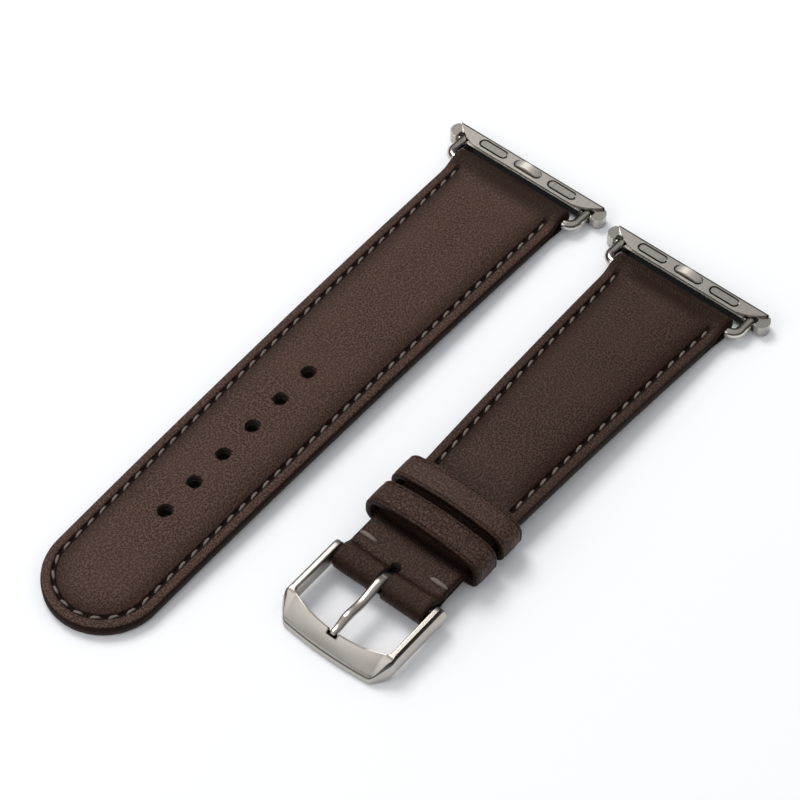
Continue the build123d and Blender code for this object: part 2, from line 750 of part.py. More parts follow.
def main():
    os.makedirs("parts", exist_ok=True)
    for half, leather, stitching in (("tail", tail_leather, tail_stitching),
                                     ("buckle", buckle_half_leather, buckle_half_stitching)):
        outer, filler, lining = leather()
        save(half + "_half_outer_leather", outer, half)
        save(half + "_half_padding", filler, half)
        save(half + "_half_lining", lining, half)
        save(half + "_half_stitching", stitching(), half)
        save(half + "_half_ring", ring(), half)
        save(half + "_half_ring_pins", ring_pins(), half)
        save(half + "_half_connector_body", connector_body(), half)
        save(half + "_half_connector_deck", connector_deck(), half)
        save(half + "_half_connector_pads", pads(), half)
        save(half + "_half_latch_button", latch_button(), half)
        save(half + "_half_latch_springs", latch_springs(), half)
    save("fixed_keeper", keeper(fixed_keeper_at, fixed_keeper_seat_gap), "buckle")
    save("free_keeper", keeper(free_keeper_at, free_keeper_seat_gap), "buckle")
    save("spring_bar_tube", spring_bar_tube(), "buckle")
    save("spring_bar_tip_left", spring_bar_tip(-1), "buckle")
    save("spring_bar_tip_right", spring_bar_tip(1), "buckle")
    save("spring_bar_spring", spring_bar_spring(), "buckle")
    save("buckle_frame", buckle_frame(), "buckle")
    save("buckle_tongue", buckle_tongue(), "buckle")


if __name__ == "__main__":
    main()
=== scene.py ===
import json
import math

import bpy
from bpy.props import FloatProperty, FloatVectorProperty, PointerProperty
from mathutils import Matrix, Vector


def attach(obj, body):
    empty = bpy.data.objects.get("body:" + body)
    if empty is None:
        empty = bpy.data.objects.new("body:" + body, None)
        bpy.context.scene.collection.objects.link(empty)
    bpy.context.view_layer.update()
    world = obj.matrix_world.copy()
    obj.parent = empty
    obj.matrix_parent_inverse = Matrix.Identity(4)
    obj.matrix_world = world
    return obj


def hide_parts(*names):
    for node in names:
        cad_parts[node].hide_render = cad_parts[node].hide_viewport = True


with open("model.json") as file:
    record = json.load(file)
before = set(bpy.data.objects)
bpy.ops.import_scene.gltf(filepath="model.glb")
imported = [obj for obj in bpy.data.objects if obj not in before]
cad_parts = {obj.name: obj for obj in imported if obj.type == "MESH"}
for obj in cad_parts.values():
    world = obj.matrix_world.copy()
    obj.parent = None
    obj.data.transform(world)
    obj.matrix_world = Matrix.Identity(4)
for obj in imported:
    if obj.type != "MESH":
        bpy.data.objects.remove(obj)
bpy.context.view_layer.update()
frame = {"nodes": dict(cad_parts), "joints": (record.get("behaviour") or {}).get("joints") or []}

bl_info = {
    "name": "Padded Watch Strap",
    "version": (1, 0, 0),
    "blender": (4, 5, 0),
    "location": "View3D > Sidebar > Strap",
    "description": "Models and finishes a two-piece padded leather watch strap around its packed frame",
    "category": "Object",
}

# Sizes in this file are in millimetres unless a property says otherwise. Blender works in metres.
MM = 0.001
FLOOR_HEIGHT = -0.03            # just under the table top, where the strap lies

# Leather, both halves, as the frame has it
LUG_HALF_WIDTH = 11.5
LINING = 0.9                    # thickness of the lining
EDGE = 2.2                      # lining and outer leather together, at the edge
PADDING_INSET = 2.9
PADDING_START = 3.8
PADDING_FADE = 3.5              # length over which it rises behind the ring
STITCH_LINE = 2.0               # edge of the leather to the stitches
STITCH_START = 3.3
GROOVE_START = 1.6
GROOVE_FADE = 0.7               # length over which it deepens
TURN_UNDER = 6.0
BORE_GAP = 0.06                 # leather to the bar that it wraps
CRADLE = 4.2                    # length over which the leather rises onto its roll
LEATHER_ROW_STEP = 0.48         # between rows of points along the strap
LAYER_ROW_STEP = 0.7
DEEPEST_GROOVE = 0.48           # where the groove's colour is full
RIM_BEVEL = 0.12                # of the punched holes

# Tail half
TAIL_LENGTH = 112.5
TIP_RADIUS = 10.2
TAIL_RISE = 0.9
HOLE_COUNT = 6
HOLE_PITCH = 7.0
HOLE_RADIUS = 1.2
FIRST_HOLE = 53.3
TAIL_STITCHES = 35              # along each side
TIP_STITCHES = 10

# Buckle half
SHORT_LENGTH = 75.3
SHORT_END_HALF_WIDTH = 9.0
TAPER_END = 66.0
SHORT_RISE = 1.4
SHORT_PADDING_END = 53.5
PADDING_END_FADE = 7.0
SHORT_TURN_UNDER = 9.0
SHORT_STITCHES = 17
LAST_STITCH = 51.0
GROOVE_END = 53.4
GROOVE_END_FADE = 0.8
TONGUE_SLOT_HALF_WIDTH = 0.92
TONGUE_SLOT_BACK = 3.4
TONGUE_SLOT_END = 0.4           # depth of the slot's rounded end
TACK_FROM_BAR = 4.7
TACK_LENGTH = 3.6

# Bars that the leather wraps, and the rolls round them
RING_BAR_RADIUS = 0.75
RING_BAR_HEIGHT = 1.9
RING_ROLL = 1.9
ROLL_SWELL = 0.4                # of the ring's roll, towards the connector
SPRING_BAR_RADIUS = 0.9
SPRING_BAR_HEIGHT = 3.0
BUCKLE_ROLL = 2.24

# Keepers
KEEPER_WIDTH = 5.0
KEEPER_WALL = 1.1
KEEPER_SIDE = 10.2
KEEPER_SHOULDER = 3.6
KEEPER_CREST = 4.8
KEEPER_CORNER = 0.9
KEEPER_SHOULDER_ROUND = 1.9
FREE_KEEPER_AT = 57.4
FIXED_KEEPER_AT = 63.8
BETWEEN_KEEPERS = 60.6
KEEPER_SEAT_GAPS = {"free_keeper": 0.12, "fixed_keeper": 0.01}

# Buckle frame, from the spring bar's axis
ARM_INNER = 9.3
ARM_OUTER = 11.1
ARM_TOP = 4.55
ARM_FOOT = 1.45
ARM_BACK = 0.2                  # where the arms' rounded ends start
ARM_ROUND = 1.55                # length of the rounded ends
TIP_HOLE_RADIUS = 0.45
TIP_HOLE_DEPTH = 0.85
WINDOW_CENTRE = 12.83           # of the arc along the window's front
WINDOW_RADIUS = 24.93
WINDOW_SIDE = 8.78              # half the width of that arc
WINDOW_CORNER_AT = (8.5, -9.75)
WINDOW_CORNER_RADIUS = 0.8
FRONT_MIDDLE = -14.9
FRONT_SIDE = 7.8                # half the width of the straight front
FRONT_BULGE = 0.45
FRONT_LIP = 1.15                # height of the front edge
PLATE_START = -10.3             # where the arms' tops pass into the plate
PLATE_DROP = 0.25               # of the plate's upper edge under the arms' tops
FOOT_START = -10.9              # where the underside starts to fall to the table
CORNER_FADE = 1.8               # length of both changes
NOTCH_AT = 12.3
NOTCH_SIZE = (1.9, 1.4, 3.0)
NOTCH_FLOOR = 3.3
NOTCH_ROUND = 0.22

# Tongue
EYE_RADIUS = 1.66               # centre line of the eye round the spring bar
TONGUE_HALF_WIDTHS = (0.8, 0.6)         # along the blade and at the tip
TONGUE_HALF_THICKNESSES = (0.6, 0.42)

# Connector, from the ring bar's axis
FACE_HALF_WIDTH = 12.4          # of the part of its front that gets painted shade
FACE_HEIGHT = 2.4
DECK_LINE = 5.15                # to the centre line of the pads and the button
DECK_FAR_EDGE = 1.4             # from that line
PAD_AT = 7.35
PAD_STRAIGHT = 1.975
BUTTON_STRAIGHT = 1.825
CAPSULE_RADIUS = 0.725


# Shapes

class Arch:
    """Side view of one half: the circle that its underside follows."""

    def __init__(self, length, near_height, far_height, rise):
        chord = math.hypot(length, far_height - near_height)
        self.radius = (chord ** 2 / 4 + rise ** 2) / (2 * rise)
        slope = math.atan2(near_height - far_height, length)
        drop = self.radius - rise
        self.y = -length / 2 + drop * math.sin(slope)
        self.z = (near_height + far_height) / 2 - drop * math.cos(slope)

    def height(self, y, above=0.0):
        """Height over the table of the point at y that lies above the underside."""
        return self.z + math.sqrt((self.radius + above) ** 2 - (y - self.y) ** 2)

    def tilt(self, y):
        """Slope of the half at y."""
        return -math.asin((y - self.y) / self.radius)


def joint_place(name):
    """Where a joint's axis is, in millimetres."""
    joint = next(j for j in frame["joints"] if j["name"] == name)
    return [value / MM for value in joint["pos_m"]]


def smooth(share):
    """An even rise from 0 to 1 with level ends."""
    share = min(1.0, max(0.0, share))
    return share * share * (3 - 2 * share)


def mix(a, b, share):
    return a + (b - a) * share


class Half:
    """What both halves share. Each has its own frame: ring bar at y 0, the strap running to -Y."""

    def fullness(self, y):
        """How full the padding is at y, from 0 to 1."""
        return smooth(-y / PADDING_FADE)

    def groove(self, y):
        """How deep the stitch groove is at y, from 0 to 1."""
        return smooth((-y - GROOVE_START) / GROOVE_FADE)


class TailHalf(Half):
    """The long half, with its tip at the far end."""
    name = "tail_half"
    strap_body = "tail_strap"
    arch = Arch(TAIL_LENGTH, 0.4, 0.0, 1.2)
    rise = TAIL_RISE
    has_tip = True
    x, y = joint_place("tail_leather_on_ring")[:2]
    straight_end = TAIL_LENGTH - TIP_RADIUS
    stitch_count = TAIL_STITCHES
    stitch_step = (straight_end - STITCH_START) / TAIL_STITCHES

    def half_width(self, y):
        return LUG_HALF_WIDTH + (LUG_HALF_WIDTH - TIP_RADIUS) * y / self.straight_end


class BuckleHalf(Half):
    """The short half, with the spring bar at the far end."""
    name = "buckle_half"
    strap_body = "buckle_strap"
    arch = Arch(SHORT_LENGTH, 0.4, SPRING_BAR_HEIGHT - EDGE / 2, 1.2)
    rise = SHORT_RISE
    has_tip = False
    x, y = joint_place("buckle_leather_on_ring")[:2]
    straight_end = SHORT_LENGTH
    stitch_count = SHORT_STITCHES
    stitch_step = (LAST_STITCH - STITCH_START) / (SHORT_STITCHES - 1)

    def half_width(self, y):
        return LUG_HALF_WIDTH + (LUG_HALF_WIDTH - SHORT_END_HALF_WIDTH) * max(y, -TAPER_END) / TAPER_END

    def fullness(self, y):
        return super().fullness(y) * smooth((y + SHORT_PADDING_END) / PADDING_END_FADE)

    def groove(self, y):
        return super().groove(y) * smooth((y + GROOVE_END) / GROOVE_END_FADE)


TAIL = TailHalf()
SHORT = BuckleHalf()


def crown(half, y, inset, half_width):
    """Height of the padded pillow over the flat edge."""
    if inset <= PADDING_INSET - 0.55:
        return 0.0
    away = (half_width - inset) / (half_width - PADDING_INSET + 0.55)
    return half.rise * half.fullness(y) * (1 - abs(away) ** 3.0)


def stitch_phase(half, y, around):
    """Where a point lies between stitches: 1 at a stitch's middle, -1 half way to the next."""
    run = -y - STITCH_START if around is None else around
    return math.cos(2 * math.pi * run / half.stitch_step)


# Stations across one side of a half: inset from the edge, or share of what is left to the middle
MARGIN_INSETS = (0.0, 0.1, 0.3, 0.6, 1.0, 1.35)
GROOVE_INSETS = (1.5, 1.6, 1.75, 1.9, 2.1, 2.25, 2.4, 2.5)
PILLOW_SHARES = (0.03, 0.08, 0.16, 0.27, 0.4, 0.56, 0.7, 0.78, 0.82, 0.85, 0.89, 0.94, 1.0)
GROOVE_HALF_WIDTH = 0.5
EDGE_DROPS = {0.0: 0.42, 0.1: 0.2, 0.3: 0.06, 0.6: 0.0, 1.0: -0.05, 1.35: -0.02}


def top_stations(half_width):
    inner = GROOVE_INSETS[-1]
    return [*MARGIN_INSETS, *GROOVE_INSETS,
            *(inner + (half_width - inner) * share for share in PILLOW_SHARES)]


def groove_at(half, y, inset, around):
    """How far the stitch groove is pressed in."""
    away = abs(inset - STITCH_LINE) / GROOVE_HALF_WIDTH
    if away >= 1:
        return 0.0
    depth = bpy.context.scene.strap_leather.groove_depth / MM
    wave = 1 - 0.22 * stitch_phase(half, y, around)
    return depth * wave * half.groove(y) * (1 - away ** 2) ** 0.7


def top_height(half, y, inset, half_width, around=None):
    """Height of the leather's face over the underside."""
    drop = EDGE_DROPS.get(inset, 0.0)
    pucker = 0.035 * stitch_phase(half, y, around) * half.groove(y)
    near_line = math.exp(-((inset - STITCH_LINE) / 0.9) ** 2)
    relief = crown(half, y, inset, half_width) - groove_at(half, y, inset, around)
    return EDGE - drop + relief - pucker * near_line


class Rail:
    """One row of points over a half: where it lies along the strap."""

    def __init__(self, half, y, roll=None, angle=None, under=False, tip=None):
        self.half, self.y, self.roll, self.angle, self.under, self.tip = half, y, roll, angle, under, tip

    def half_width(self):
        return self.half.half_width(self.y) if self.tip is None else TIP_RADIUS

    def point(self, inset, height):
        """The point at an inset from the edge and a height over the underside."""
        if self.tip is not None:
            reach = TIP_RADIUS - inset
            y = -self.half.straight_end - reach * math.sin(self.tip)
            return reach * math.cos(self.tip), y, self.half.arch.height(y, height)
        x = self.half_width() - inset
        depth = (height - LINING) / (EDGE - LINING)
        flat = self.half.arch.height(self.y, LINING * (1 - depth) if self.under else height)
        if self.roll is None:
            return x, self.y, flat
        bore, outer, bar_y, bar_z = self.roll
        if self.angle is not None:
            swell = 0.0 if bar_y else ROLL_SWELL * math.sin(self.angle)
            reach = mix(bore, outer + swell, depth)
            return x, bar_y + reach * math.sin(self.angle), bar_z + reach * math.cos(self.angle)
        reach = mix(bore, outer, depth)
        over = bar_z - reach if self.under else bar_z + reach
        return x, self.y, mix(flat, over, smooth(1 - abs(self.y - bar_y) / CRADLE))


def leather_rails(half):
    """Rows of the outer leather, from the end turned under at the ring to the other end."""
    ring = (RING_BAR_RADIUS + BORE_GAP, RING_ROLL, 0.0, RING_BAR_HEIGHT)
    rails = [Rail(half, -TURN_UNDER + TURN_UNDER * i / 9, ring, under=True) for i in range(9)]
    rails += [Rail(half, 0.0, ring, angle=math.pi * (1 - i / 18)) for i in range(19)]
    end = half.straight_end
    steps = round(end / LEATHER_ROW_STEP)
    spring = (SPRING_BAR_RADIUS + BORE_GAP, BUCKLE_ROLL, -SHORT_LENGTH, SPRING_BAR_HEIGHT)
    for i in range(1, steps):
        y = -end * i / steps
        roll = ring if -y < CRADLE else spring if not half.has_tip and end + y < CRADLE else None
        rails.append(Rail(half, y, roll))
    if half.has_tip:
        return rails + tip_rails(half)
    rails += [Rail(half, -end, spring, angle=-math.pi * i / 22) for i in range(23)]
    rails += [Rail(half, -end + SHORT_TURN_UNDER * i / 14, spring, under=True) for i in range(1, 15)]
    return rails


def tip_rails(half):
    return [Rail(half, -half.straight_end, tip=math.pi / 2 * i / 30) for i in range(31)]


def flat_rails(half, near, far=None):
    """Rows of a layer without turned ends."""
    end = half.straight_end if half.has_tip else far
    steps = round((end - near) / LAYER_ROW_STEP)
    rails = [Rail(half, -near - (end - near) * i / steps) for i in range(steps)]
    return rails + (tip_rails(half) if half.has_tip else [Rail(half, -end)])


def press_line(x, y):
    """Soft wave pressed into the short half behind its roll, closer to the roll at the tongue."""
    behind = y + SHORT_LENGTH - 0.35 * abs(x / SHORT_END_HALF_WIDTH)
    return 0.42 * math.exp(-((behind - 2.2) / 0.6) ** 2) - 0.1 * math.exp(-((behind - 3.6) / 0.8) ** 2)


def painted_shade(rail, inset):
    """How much painted shade darkens the leather: on the pillow beside the stitches, at the ring end, in
    the press line, at the buckle's roll, along the edges past the fixed keeper, round the keepers and on
    the rolls away from their tops.
    """
    half, y = rail.half, rail.y
    # Painted shade on the pillow's flanks beside the stitches, wider on the pillow side.
    spread = 2.1 if inset > STITCH_LINE else 0.6
    shade = 0.8 * math.exp(-((inset - STITCH_LINE) / spread) ** 2) * half.groove(y)
    # Painted shade at the ring end, next to the connector.
    shade = max(shade, smooth((y + 4.2) / 3.6))
    if not half.has_tip:
        # Painted shade in the press line's valley, at the buckle's roll and along the edges past the fixed
        # keeper.
        shade = max(shade, 2.6 * max(0.0, press_line(half.half_width(y) - inset, y)))
        shade = max(shade, smooth((-y - SHORT_LENGTH + 0.9) / 1.8))
        shade = max(shade, 0.9 * smooth((0.9 - inset) / 0.8) * smooth((-y - FIXED_KEEPER_AT) / 2.0))
        # Painted shadows that the keepers cast onto the strap.
        for place, reach in ((FREE_KEEPER_AT - 2.5, 0.9), (BETWEEN_KEEPERS, 1.2),
                             (FIXED_KEEPER_AT + 2.6, 1.5)):
            shade = max(shade, 1.1 * math.exp(-((-y - place) / reach) ** 2))
    # Painted shade on the rolls, all but their tops.
    if rail.angle is not None:
        shade = max(shade, smooth(abs(rail.angle) / 1.1))
    return min(1.0, shade)


# Marks of a point: pressed into the groove, with painted shade there and painted shadow past the fixed
# keeper; on the painted rim; painted shade, or rubbing on the keepers' edges
PLAIN = (0.0, 0.0, 0.0)
PAINTED = (0.0, 1.0, 0.0)


def leather_section(rail):
    """One closed half-section of the outer leather: inside from the middle out, wall, then the face."""
    half, width = rail.half, rail.half_width()
    shaped = rail.angle is None and not rail.under
    around = None if rail.tip is None else (
        half.stitch_count + rail.tip * (TIP_STITCHES - 1) / math.pi) * half.stitch_step
    points = []
    for share in (1.0, 0.7, 0.45, 0.22, 0.05):
        inset = mix(PADDING_INSET, width, share)
        lift = crown(half, rail.y, inset, width) if shaped else 0.0
        points.append((rail.point(inset, LINING + lift + 0.01), PLAIN))
    points.append((rail.point(PADDING_INSET - 0.6, LINING + 0.01), PLAIN))
    points += [(rail.point(inset, height), PAINTED) for inset, height in (
        (0.12, LINING + 0.01), (0.0, LINING + 0.12), (-0.06, 1.2), (-0.05, 1.5))]
    for inset in top_stations(width):
        if shaped:
            height = top_height(half, rail.y, inset, width, around)
            groove_and_shadow = groove_at(half, rail.y, inset, around) / DEEPEST_GROOVE
        else:
            height, groove_and_shadow = EDGE - max(EDGE_DROPS.get(inset, 0.0), 0.0), 0.0
        if not half.has_tip:
            if shaped:
                height -= press_line(width - inset, rail.y)
            # Painted shadow past the fixed keeper, carried in the groove mark.
            keeper_shadow = (-rail.y - FIXED_KEEPER_AT - 2.7) / 0.9
            groove_and_shadow = max(groove_and_shadow, 0.75 * math.exp(-keeper_shadow ** 2))
        rim = 1.0 if inset < 0.05 else 0.6 if inset < 0.2 else 0.0
        points.append((rail.point(inset, height), (groove_and_shadow, rim, painted_shade(rail, inset))))
    return points


def lining_section(rail):
    """One closed half-section of the lining."""
    width = rail.half_width()
    points = [(rail.point(width * share, LINING - 0.01), PLAIN) for share in (1.0, 0.6, 0.3, 0.08)]
    for inset, height in ((0.06, LINING - 0.01), (-0.02, LINING - 0.15), (-0.02, 0.45), (0.0, 0.2),
                          (0.08, 0.07), (0.25, 0.01), (0.6, 0.0), (1.2, 0.0)):
        points.append((rail.point(inset, height), PAINTED if inset < 0.2 else PLAIN))
    return points + [(rail.point(width * share, 0.0), PLAIN) for share in (0.2, 0.35, 0.55, 0.78, 1.0)]


def padding_section(rail):
    """One closed half-section of the filler, just inside the leather."""
    width = rail.half_width()
    points = [(rail.point(mix(PADDING_INSET, width, share), LINING + 0.02), PLAIN)
              for share in (1.0, 0.6, 0.3, 0.1)]
    for share in (0.02, 0.0, 0.03, 0.1, 0.2, 0.34, 0.5, 0.74, 1.0):
        inset = mix(PADDING_INSET, width, share)
        lift = max(0.04, crown(rail.half, rail.y, inset, width) - 0.03) if share else 0.03
        points.append((rail.point(inset, LINING + lift), PLAIN))
    return points


# Modelling steps

def deselect_all():
    bpy.ops.object.select_all(action="DESELECT")


def pick(piece):
    """Make a piece the only selected one."""
    deselect_all()
    piece.select_set(True)
    bpy.context.view_layer.objects.active = piece


def apply_modifier(piece, kind, **settings):
    """Add a modifier to a piece and apply it."""
    pick(piece)
    modifier = piece.modifiers.new(kind.title(), kind)
    for key, value in settings.items():
        setattr(modifier, key, value)
    bpy.ops.object.modifier_apply(modifier=modifier.name)


def stitch_mesh_up(piece, merge=3e-6, fill=True):
    """Merge doubles, close open ends and turn the faces outwards."""
    pick(piece)
    bpy.ops.object.mode_set(mode="EDIT")
    bpy.ops.mesh.select_all(action="SELECT")
    bpy.ops.mesh.remove_doubles(threshold=merge)
    if fill:
        bpy.ops.mesh.fill_holes(sides=0)
        bpy.ops.mesh.select_all(action="SELECT")
    bpy.ops.mesh.normals_make_consistent(inside=False)
    bpy.ops.object.mode_set(mode="OBJECT")
    if encloses(piece) < 0:
        bpy.ops.object.mode_set(mode="EDIT")
        bpy.ops.mesh.flip_normals()
        bpy.ops.object.mode_set(mode="OBJECT")


def encloses(piece):
    """Volume of a closed mesh, below zero where it is inside out."""
    mesh = piece.data
    mesh.calc_loop_triangles()
    corners = [vertex.co for vertex in mesh.vertices]
    return sum(corners[a].dot(corners[b].cross(corners[c])) for a, b, c in
               (triangle.vertices for triangle in mesh.loop_triangles)) / 6


def mirror(piece):
    """Mirror a piece over its middle line, before it is moved to its place across the table."""
    apply_modifier(piece, "MIRROR", use_axis=(True, False, False), use_mirror_merge=True,
                   merge_threshold=4e-6)


def draped_grid(name, table, move):
    """A grid laid over a table of rows of (point, marks), in one half's own frame, moved into place."""
    rows, columns = len(table), len(table[0])
    deselect_all()
    bpy.ops.mesh.primitive_grid_add(x_subdivisions=columns - 1, y_subdivisions=rows - 1, size=1)
    piece = bpy.context.object
    piece.name = piece.data.name = name
    marks = piece.data.attributes.new("marks", "FLOAT_COLOR", "POINT")
    for vertex in piece.data.vertices:
        column = round((vertex.co.x + 0.5) * (columns - 1))
        row = round((vertex.co.y + 0.5) * (rows - 1))
        (x, y, z), mark = table[row][column]
        vertex.co = Vector((x + move[0], y + move[1], z)) * MM
        marks.data[vertex.index].color = (*mark, 1.0)
    return piece


def mirrored_half(name, half, rails, section):
    """One side of a layer of a half, mirrored over its centre line and closed."""
    piece = draped_grid(name, [section(rail) for rail in rails], (0.0, half.y))
    mirror(piece)
    shift(piece, half.x)
    stitch_mesh_up(piece)
    return piece


def shift(piece, x=0.0, y=0.0, z=0.0):
    """Move a piece's mesh, in millimetres, and leave its object at the origin."""
    piece.data.transform(Matrix.Translation(Vector((x, y, z)) * MM))


def settle(piece):
    """Put a piece's place and turn into its mesh."""
    pick(piece)
    bpy.ops.object.transform_apply(location=True, rotation=True, scale=True)


def join(pieces, name):
    """Join pieces into one."""
    deselect_all()
    for piece in pieces:
        piece.select_set(True)
    bpy.context.view_layer.objects.active = pieces[0]
    if len(pieces) > 1:
        bpy.ops.object.join()
    piece = bpy.context.object
    piece.name = piece.data.name = name
    return piece


def smooth_by_angle(piece, degrees):
    pick(piece)
    bpy.ops.object.shade_smooth_by_angle(angle=math.radians(degrees))


def cylinder(radius, depth, place, vertices, rotation=(0.0, 0.0, 0.0)):
    """A cylinder, by sizes in millimetres."""
    deselect_all()
    bpy.ops.mesh.primitive_cylinder_add(vertices=vertices, radius=radius * MM, depth=depth * MM,
                                        location=Vector(place) * MM, rotation=rotation)
    settle(bpy.context.object)
    return bpy.context.object


def cut_away(piece, cutter):
    """Cut a piece with a cutter, whose material lines the cut. The cut has no marks."""
    attributes = cutter.data.attributes
    marks = attributes.get("marks") or attributes.new("marks", "FLOAT_COLOR", "POINT")
    for mark in marks.data:
        mark.color = (*PLAIN, 1.0)
    apply_modifier(piece, "BOOLEAN", operation="DIFFERENCE", solver="MANIFOLD", object=cutter,
                   material_mode="TRANSFER")


def hole_places():
    """Places of the adjustment holes along the tail half."""
    return [-FIRST_HOLE - number * HOLE_PITCH for number in range(HOLE_COUNT)]


def hole_cutters():
    """Punches for the adjustment holes, square to the strap."""
    return join([cylinder(HOLE_RADIUS, 12, (TAIL.x, y + TAIL.y, TAIL.arch.height(y)), 40,
                          (TAIL.arch.tilt(y), 0, 0)) for y in hole_places()], "punches")


def slot_cutter():
    """Cutter for the tongue's slot through the roll, with a shallow round end."""
    bar_y = SHORT.y - SHORT_LENGTH
    back = bar_y + TONGUE_SLOT_BACK - TONGUE_SLOT_END
    cutter = cylinder(TONGUE_SLOT_HALF_WIDTH, 16, (SHORT.x, back, SPRING_BAR_HEIGHT), 48)
    for vertex in cutter.data.vertices:
        if vertex.co.y < back * MM - 1e-7:
            side = 1 if vertex.co.x > SHORT.x * MM else -1
            vertex.co.x = (SHORT.x + side * TONGUE_SLOT_HALF_WIDTH) * MM
            vertex.co.y = (bar_y - BUCKLE_ROLL - 2) * MM
        else:
            vertex.co.y = mix(back * MM, vertex.co.y, TONGUE_SLOT_END / TONGUE_SLOT_HALF_WIDTH)
    stitch_mesh_up(cutter, merge=1e-6, fill=False)
    return cutter


def on_hole_rim(point):
    """Whether a point, in millimetres, lies on the upper rim of a punched hole."""
    for y in hole_places():
        away = math.hypot(point.x - TAIL.x, point.y - TAIL.y - y)
        tall = point.z - TAIL.arch.height(y, EDGE + TAIL_RISE / 2)
        if abs(away - HOLE_RADIUS) < 0.06 and tall > 0:
            return True
    return False


def soften_rims(piece):
    """Bevel the upper rims of the punched holes."""
    pick(piece)
    bpy.ops.object.mode_set(mode="EDIT")
    bpy.ops.mesh.select_all(action="DESELECT")
    bpy.ops.object.mode_set(mode="OBJECT")
    vertices = piece.data.vertices
    for edge in piece.data.edges:
        edge.select = all(on_hole_rim(vertices[i].co / MM) for i in edge.vertices)
    bpy.ops.object.mode_set(mode="EDIT")
    bpy.ops.mesh.select_mode(type="EDGE")
    bpy.ops.mesh.bevel(offset=RIM_BEVEL * MM, segments=2, profile=0.5, affect="EDGES", clamp_overlap=True)
    bpy.ops.mesh.select_mode(type="VERT")
    bpy.ops.object.mode_set(mode="OBJECT")


# Finishes

class Value:
    """A number that varies over a surface. Arithmetic on it adds Math nodes."""

    def __init__(self, shader, socket):
        self.shader, self.socket = shader, socket

    def __add__(self, other):
        return self.shader.maths("ADD", self, other)

    def __sub__(self, other):
        return self.shader.maths("SUBTRACT", self, other)

    def __rsub__(self, other):
        return self.shader.maths("SUBTRACT", other, self)

    def __mul__(self, other):
        return self.shader.maths("MULTIPLY", self, other)

    __radd__, __rmul__ = __add__, __mul__


class Shader:
    """Nodes of one material, world or lamp."""

    def __init__(self, owner):
        owner.use_nodes = True
        self.tree = owner.node_tree
        self.tree.nodes.clear()

    def add(self, kind, settings=None, inputs=None, output=0):
        """Add a node, set its settings, then its sockets, and give one of its outputs."""
        node = self.tree.nodes.new(kind)
        for key, value in (settings or {}).items():
            if key == "stops":
                self.set_stops(node.color_ramp, value)
            else:
                setattr(node, key, value)
        for key, value in (inputs or {}).items():
            if isinstance(value, Value):
                self.tree.links.new(value.socket, node.inputs[key])
            else:
                node.inputs[key].default_value = value
        return Value(self, node.outputs[output]) if node.outputs else node

    def set_stops(self, ramp, stops):
        while len(ramp.elements) < len(stops):
            ramp.elements.new(0.5)
        for element, (place, colour) in zip(ramp.elements, stops):
            element.position, element.color = place, (*colour, 1.0)

    def maths(self, operation, *values):
        return self.add("ShaderNodeMath", {"operation": operation}, dict(enumerate(values)))

    def blend(self, factor, a, b):
        """Mix two colours."""
        return self.add("ShaderNodeMix", {"data_type": "RGBA"}, {0: factor, 6: a, 7: b}, output=2)

    def step(self, value, low, high):
        """0 below low, 1 above high, smooth between."""
        return self.add("ShaderNodeMapRange", {"interpolation_type": "SMOOTHSTEP"},
                        {"Value": value, "From Min": low, "From Max": high})

    def noise(self, place, scale, detail=2.0, roughness=0.5):
        return self.add("ShaderNodeTexNoise", None,
                        {"Vector": place, "Scale": scale, "Detail": detail, "Roughness": roughness})

    def object_place(self, stretch=(1.0, 1.0, 1.0)):
        place = self.add("ShaderNodeTexCoord", output="Object")
        return self.add("ShaderNodeMapping", None, {"Vector": place, "Scale": stretch})

    def parts(self, value, kind="ShaderNodeSeparateXYZ"):
        """The three parts of a vector, or of a colour with the node for colours."""
        node = self.add(kind, None, {0: value}).socket.node
        return [Value(self, output) for output in node.outputs]

    def marks(self):
        """The marks of the surface: pressed in with painted shade, or a painted dark reflection on steel;
        on the rim; painted shade, and rubbing on the keepers.
        """
        marks = self.add("ShaderNodeAttribute", {"attribute_name": "marks"}, output="Color")
        return self.parts(marks, "ShaderNodeSeparateColor")

    def surface(self, **sockets):
        """The closing Principled shader. Underscores in names stand for spaces."""
        shader = self.add("ShaderNodeBsdfPrincipled", None,
                          {key.replace("_", " "): value for key, value in sockets.items()})
        self.add("ShaderNodeOutputMaterial", None, {"Surface": shader})

    def bump(self, height, strength, distance, **more):
        return self.add("ShaderNodeBump", None,
                        {"Height": height, "Strength": strength, "Distance": distance * MM, **more})


def new_finish(name):
    material = bpy.data.materials.new(name)
    return material, Shader(material)


def rgb(colour):
    return (*colour, 1.0)


def shade_of(colour, factor):
    return (*(min(1.0, channel * factor) for channel in colour), 1.0)


